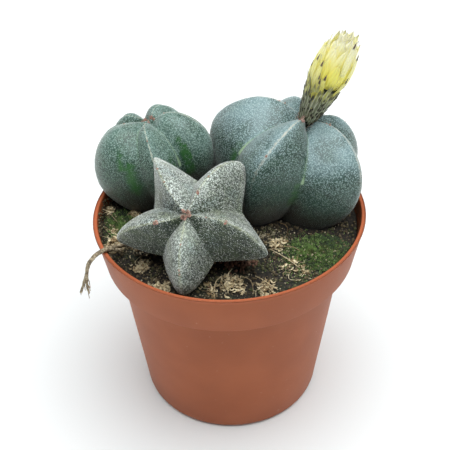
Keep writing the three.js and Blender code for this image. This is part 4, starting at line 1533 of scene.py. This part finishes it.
def crumb_finish(name, first, last, algae_share=0.0):
    finish = Finish(name, 0.92)
    tint = finish.blended(finish.kept("chance"), first, last)
    damp = finish.times(finish.patches(8, 3.0, 0.48, 0.62), algae_share)
    tint = finish.blended(damp, tint, (62, 82, 44))
    grain = finish.times(finish.patches(0.6, 3.0, 0.3, 0.7), 0.35)
    finish.set("Base Color", finish.blended(grain, tint, (86, 72, 54)))
    finish.bumped(finish.mottle(0.5), 0.2)


crumb_finish("peat_crumbs", (20, 19, 17), (116, 104, 78), 0.6)
crumb_finish("pale_grit", (112, 102, 76), (214, 204, 174), 0.3)
crumb_finish("red_bark", (98, 66, 52), (134, 100, 84))
hand_over(soil, "potting_soil", "potting_soil", ["soil"])
hand_over(dark, "peat_crumbs", "peat_crumbs")
hand_over(pale, "pale_grit", "pale_grit")
hand_over(bark, "red_bark_bits", "red_bark")

# %% [markdown]
# ## Litter
#
# Tan scraps of dry plant lie in small heaps: curled flakes of old petals and bark, with thin fibres
# among them. A flake is a small strip that is bent and thickened, and each heap gets its own number
# of copies, lying this way and that, heaped highest in its middle.

# %% Litter
def flake_shape(curl, seed):
    bm = bmesh.new()
    made = bmesh.ops.create_grid(bm, x_segments=2, y_segments=5, size=0.5)["verts"]
    for vertex in made:
        across, along = vertex.co.x, vertex.co.y
        width = 0.55 * math.cos(2.2 * along) + 0.16 * noise.noise(Vector((seed, 3 * along, 0)))
        turn = curl * along
        bend = math.sin(turn) / curl, (1 - math.cos(turn)) / curl
        vertex.co = (across * width, bend[0], bend[1] - 0.5 * abs(across) * width)
    return thickened(bm, 0.05)


HEAPS = {
    # node: x, y, spread, count of flakes, height, count of fibres
    "litter_left": (-55, 8, 2.3, 50, 3.6, 4),
    "litter_left_front": (-50.5, -15.5, 3.4, 80, 2.4, 4),
    "litter_front_left": (-29, -45, 3.8, 90, 2.8, 6),
    "litter_front": (0.5, -43, 4.2, 120, 3.4, 9),
    "litter_right": (20.5, -18.5, 3.2, 64, 2.2, 5),
}
LOOSE_HEAPS = [
    (14, -46, 3.2, 50, 1.6, 4),
    (-43, 4.2, 2.4, 60, 2.2, 2),
    (-38, -31, 4.5, 44, 1.2, 4),
    (28, -33, 6, 40, 0.8, 6),
    (-8, -45, 3, 26, 1.0, 3),
    (-52, -6, 3, 34, 1.0, 1),
]
WELL = 57.0


def in_well(place):
    return math.hypot(place.x, place.y) < WELL * squeeze(place.x, place.y, SOIL_LEVEL)


def flakes_in_heap(draw, x, y, spread_out, count, height):
    places = []
    for _ in range(count):
        px, py = near_place(draw, x, y, 0.55 * spread_out, 0.55 * spread_out)
        spot = on_soil(px, py)
        if spot is None:
            continue
        closeness_to_middle = math.exp(-((px - x) ** 2 + (py - y) ** 2) / (spread_out**2))
        spot = spot + UP * (0.4 + height * closeness_to_middle * draw.random() ** 1.4)
        length = draw.uniform(1.2, 3.2)
        axis = Vector((draw.gauss(0, 1), draw.gauss(0, 1), draw.gauss(0, 0.5))).normalized()
        turn = Quaternion(axis, draw.uniform(-0.9, 0.9)) @ Quaternion((0, 0, 1), draw.uniform(0, 6.3))
        tip = turn @ Vector((0, length / 2, 0))
        if in_well(spot + tip) and in_well(spot - tip):
            places.append(Matrix.LocRotScale(spot, turn, Vector((length, length, length))))
    return places


def fibres_in_heap(draw, x, y, spread_out, count, height):
    strands = bmesh.new()
    chance = strands.verts.layers.float.new("chance")
    for _ in range(count):
        start = on_soil(*near_place(draw, x, y, 0.5 * spread_out, 0.5 * spread_out))
        if start is None:
            continue
        angle, reach = draw.uniform(0, 6.3), draw.uniform(2.5, 6)
        aside = polar(1, angle)
        bend = Vector((-aside.y, aside.x, 0)) * draw.uniform(-2, 2)
        ends = [start + UP * 0.4, start + aside * reach / 2 + bend, start + aside * reach]
        ends[1].z += draw.uniform(0.6, 0.4 + 0.5 * height)
        ends[2].z += draw.uniform(0.4, 1.6)
        if not all(in_well(end) and not inside_plant(end, 0.3) for end in ends):
            continue
        thick = draw.uniform(0.1, 0.2)
        value = draw.random()
        for vertex in reed(strands, ends, lambda share: thick * (1.1 - 0.6 * share), 4, 9):
            vertex[chance] = value
    return face_outwards(strands)


def heap(x, y, spread_out, flakes, height, fibres, seed):
    draw = random.Random(seed)
    places = flakes_in_heap(draw, x, y, spread_out, flakes, height)
    curled = scattered(flake_shape(2.4, 1), places[::2], seed)
    open_ones = scattered(flake_shape(1.1, 4), places[1::2], seed + "b")
    return joined([curled, open_ones, fibres_in_heap(draw, x, y, spread_out, fibres, height)])


# %% Litter finish
finish = Finish("dry_litter", 0.88)
tint = finish.blended(finish.kept("chance"), (138, 116, 80), (242, 229, 190))
streaks = finish.times(finish.patches(0.9, 5.0, 0.48, 0.62), 0.6)
finish.set("Base Color", finish.blended(streaks, tint, (96, 74, 54)))
finish.bumped(finish.mottle(0.5), 0.15)
finish.translucent(0.08, 0.5, 0.4, 0.2)

for node, values in HEAPS.items():
    hand_over(heap(*values, node), node + "_flakes", "dry_litter", [node])
loose = [heap(*values, "loose" + str(i)) for i, values in enumerate(LOOSE_HEAPS)]
hand_over(joined(loose), "loose_litter", "dry_litter")

# %% [markdown]
# ## Dry roots over the rim
#
# Two dried strands come out of the litter at the left, cross the lip side by side and hang outside
# the pot, where their ends are frayed. They are bent rods with knots in them, each made from a
# sphere whose rows of vertices are set along a smooth line. The same helper made the litter's fibres,
# and here it gets more sides and a rougher radius.

# %% Dry roots
OVER_RIM = [Vector((-53.4, -28.6, 100.2)), Vector((-57.5, -31.2, 98.6)), Vector((-60.2, -31, 94))]
LONG_ROOT = [Vector((-44.5, -18, 94.6)), Vector((-49, -22.5, 96.8)), *OVER_RIM]
LONG_ROOT += [Vector((-61.6, -30, 88)), Vector((-63.4, -29.2, 82)), Vector((-65.2, -28.8, 76.6))]
SHORT_ROOT = [Vector((-46.5, -22.5, 94.8)), Vector((-50, -25, 97.4))]
SHORT_ROOT += [place + Vector((0.5, -0.6, 0.3)) for place in OVER_RIM]
SHORT_ROOT += [Vector((-61.2, -30.6, 88)), Vector((-62, -29.6, 81.5)), Vector((-61.8, -28.6, 76))]


def knotty(thick, thin, seed):
    def radius(share):
        return (thick + (thin - thick) * share) * (1 + 0.3 * noise.noise(Vector((seed, 14 * share, 0))))

    return radius


ROOT_HAIRS = 9
roots = bmesh.new()
roots.verts.layers.float.new("chance")
reed(roots, LONG_ROOT, knotty(1.0, 0.55, 1), 9, 70)
reed(roots, SHORT_ROOT, knotty(0.8, 0.5, 5), 9, 70)
draw = random.Random("roots")
for i in range(ROOT_HAIRS):
    trunk = (LONG_ROOT, SHORT_ROOT)[i % 2]
    start, _ = along_line(trunk, draw.uniform(0.62, 0.97))
    drop = draw.uniform(3.5, 7.5)
    side = Vector((draw.uniform(-1.6, 1.0), draw.uniform(-1.6, 1.2), 0))
    ends = [start, start + side - UP * (drop / 2), start + side * 1.3 - UP * drop]
    reed(roots, ends, knotty(0.3, 0.12, i), 5, 12)
for vertex in roots.verts:
    vertex.co += 0.14 * noise.noise_vector(vertex.co / 1.1)
face_outwards(roots)

finish = Finish("dry_root", 0.85)
tan = finish.blended(finish.patches(1.0, 6.0, 0.36, 0.64), (112, 98, 76), (190, 176, 148))
dark_spots = finish.times(finish.patches(3.2, 3.0, 0.56, 0.66), 0.6)
finish.set("Base Color", finish.blended(dark_spots, tan, (70, 58, 44)))
finish.bumped(finish.mottle(0.6, 5.0), 0.3)
hand_over(roots, "dry_roots", "dry_root", ["dry_root"])

# %% [markdown]
# ## Fine fibres
#
# Single fibres lie on the soil and stand up from it: tan twigs in front and on the right, one curved
# hair beside the large plant, and a straight one over the moss at the left. They are too thin for the
# construction model, so they are here only.

# %% Fine fibres
FIBRES = [
    ([(24.2, -14.3, 94), (24.9, -14.5, 98), (23.8, -14, 100.5), (21.3, -13.5, 101.3)], 0.13),
    ([(-58, 5.9, 95.8), (-54, 2, 96.4), (-50.1, -1.6, 93.6)], 0.16),
    ([(16.9, -22.4, 94.2), (23, -29.1, 95), (28.9, -34.3, 93.6)], 0.2),
    ([(20, -21, 94), (27, -23, 95.4), (33, -28, 93.6)], 0.2),
    ([(-3.8, -40.3, 95), (-6.2, -45, 96.4), (-7.5, -49.9, 93.8)], 0.2),
    ([(0.4, -35.5, 94.8), (-1.2, -42, 97), (-1.4, -49.5, 94)], 0.2),
    ([(4, -40, 95), (8, -45, 96.4), (9, -50, 94)], 0.16),
    ([(10, -40, 94.6), (13, -44, 96), (19, -48, 94)], 0.2),
    ([(-52, -10, 94.4), (-47, -14, 95.6), (-43, -17, 94)], 0.2),
    ([(-25, -44, 95), (-27, -49, 98), (-26, -54, 97.6)], 0.2),
]
fine = bmesh.new()
chance = fine.verts.layers.float.new("chance")
for i, (line, thick) in enumerate(FIBRES):
    points = [Vector(place) for place in line]
    for vertex in reed(fine, points, lambda share: thick * (1.1 - 0.5 * share), 5, 16):
        vertex[chance] = (i * 0.37) % 1
hand_over(face_outwards(fine), "fine_fibres", "dry_litter")

# %% [markdown]
# ## Moss
#
# Green moss grows on the damp soil at the front right and along the left side. A smooth green mound
# would look like paint, so each patch is a thin lumpy cushion with thousands of tiny pointed shoots on
# it. The shoots stand densest in the middle of a patch and thin out over the soil round it, and a few
# pale grains of grit lie among them.

# %% Moss
MOSS = {
    # node: x, y, radius along x and y, thickness, shoots
    "moss_right": (39, -23.5, 14.5, 12.5, 1.5, 4400),
    "moss_left": (-47, 0, 9, 11, 1.3, 2100),
}
GROWING_TOWARDS = {"moss_right": (-3.5, -2.5), "moss_left": (-1, -4)}
GRAIN_SHARE = 0.018


def moss_cushion(x, y, wide, deep, thick):
    bm = bmesh.new()
    bmesh.ops.create_uvsphere(bm, u_segments=72, v_segments=36, radius=1)
    bm = in_order(bm)
    for vertex in bm.verts:
        angle = math.atan2(vertex.co.y, vertex.co.x)
        wave = 1 + 0.16 * noise.noise(Vector((math.cos(angle) * 2.2 + x, math.sin(angle) * 2.2, 0)))
        px, py = x + vertex.co.x * wide * wave, y + vertex.co.y * deep * wave
        limit = WELL * squeeze(px, py, SOIL_LEVEL) - 0.8
        if math.hypot(px, py) > limit:
            px, py = px * limit / math.hypot(px, py), py * limit / math.hypot(px, py)
        lumps = 0.5 * noise.noise(Vector((px, py, 0)) / 2.4) * (vertex.co.z > 0)
        vertex.co = (px, py, soil_top(px, py) + vertex.co.z * thick + lumps)
    return face_outwards(bm)


def moss_shoots(cushion, x, y, wide, deep, count, seed):
    """Shoots, and pale grains that lie among them."""
    draw = random.Random(seed)
    surface = BVHTree.FromBMesh(cushion)
    places, shares, grains = [], [], []
    while len(places) < count:
        px, py = x + draw.gauss(0, 0.5 * wide), y + draw.gauss(0, 0.5 * deep)
        if math.hypot(px, py) > WELL * squeeze(px, py, SOIL_LEVEL) - 0.6:
            continue
        spot, normal, *_ = surface.ray_cast(Vector((px, py, POT_HEIGHT)), DOWN)
        ground = on_soil(px, py)
        if ground is None:
            count -= 1
            continue
        if spot is None or spot.z < ground.z:
            spot, normal = ground, UP
        patch = 0.5 + 0.9 * noise.noise(spot / 2.0) + 0.6 * noise.noise(spot / 0.8)
        if draw.random() > 0.35 + patch:
            count -= 1
            continue
        if draw.random() < GRAIN_SHARE:
            size = draw.uniform(0.25, 0.55)
            turn = Quaternion((0.6, 0, 0.8), draw.uniform(0, 6))
            flat = Vector((size, 0.8 * size, 0.7 * size))
            grains.append(Matrix.LocRotScale(spot + UP * 0.5, turn, flat))
        length = draw.uniform(0.5, 1.3) * (0.7 + 0.6 * patch)
        up = random_lean(draw, normal, 0.32)
        thick = draw.uniform(0.14, 0.28)
        places.append(standing(spot, up, (thick, thick, length), draw.uniform(0, 6)))
        shares.append(min(1, max(0, patch)))
    shoots = scattered(spike(4, 0.15, 0.35), places, seed, shares)
    return shoots, scattered(crumb_shape(2), grains, seed)


# %% Moss finishes
finish = Finish("moss", 0.85)
mat = finish.blended(finish.patches(1.2, 5.0, 0.36, 0.64), (18, 28, 14), (50, 72, 34))
bare = finish.times(finish.patches(5.0, 3.0, 0.52, 0.66), 0.7)
finish.set("Base Color", finish.blended(bare, mat, (48, 44, 36)))
finish.bumped(finish.mottle(0.7, 5.0), 0.5)

finish = Finish("moss_shoots", 0.75)
share = finish.edge(finish.kept("chance"), 0.15, 0.85)
tint = finish.blended(share, (16, 36, 14), (132, 164, 92))
brown_patches = finish.times(finish.patches(4.0, 3.0, 0.52, 0.66), 0.5)
finish.set("Base Color", finish.blended(brown_patches, tint, (84, 78, 40)))

for node, (x, y, wide, deep, thick, count) in MOSS.items():
    cushion = moss_cushion(x, y, wide, deep, thick)
    centre_x, centre_y = x + GROWING_TOWARDS[node][0], y + GROWING_TOWARDS[node][1]
    shoots, grains = moss_shoots(cushion, centre_x, centre_y, wide, deep, count, node)
    hand_over(cushion, node + "_mat", "moss", [node])
    hand_over(shoots, node + "_shoots", "moss_shoots")
    hand_over(grains, node + "_grains", "pale_grit")

# %% [markdown]
#
# The dressed model is meant to stay the size of the construction model. Both boxes are put side by
# side, and the dressed one is printed.

# %% Size and finish
low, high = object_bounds()
sizes = {"cad": [list(cad_low), list(cad_high)], "visual": [list(low), list(high)]}
print("visual box:", [round(c, 4) for c in (*low, *high)])
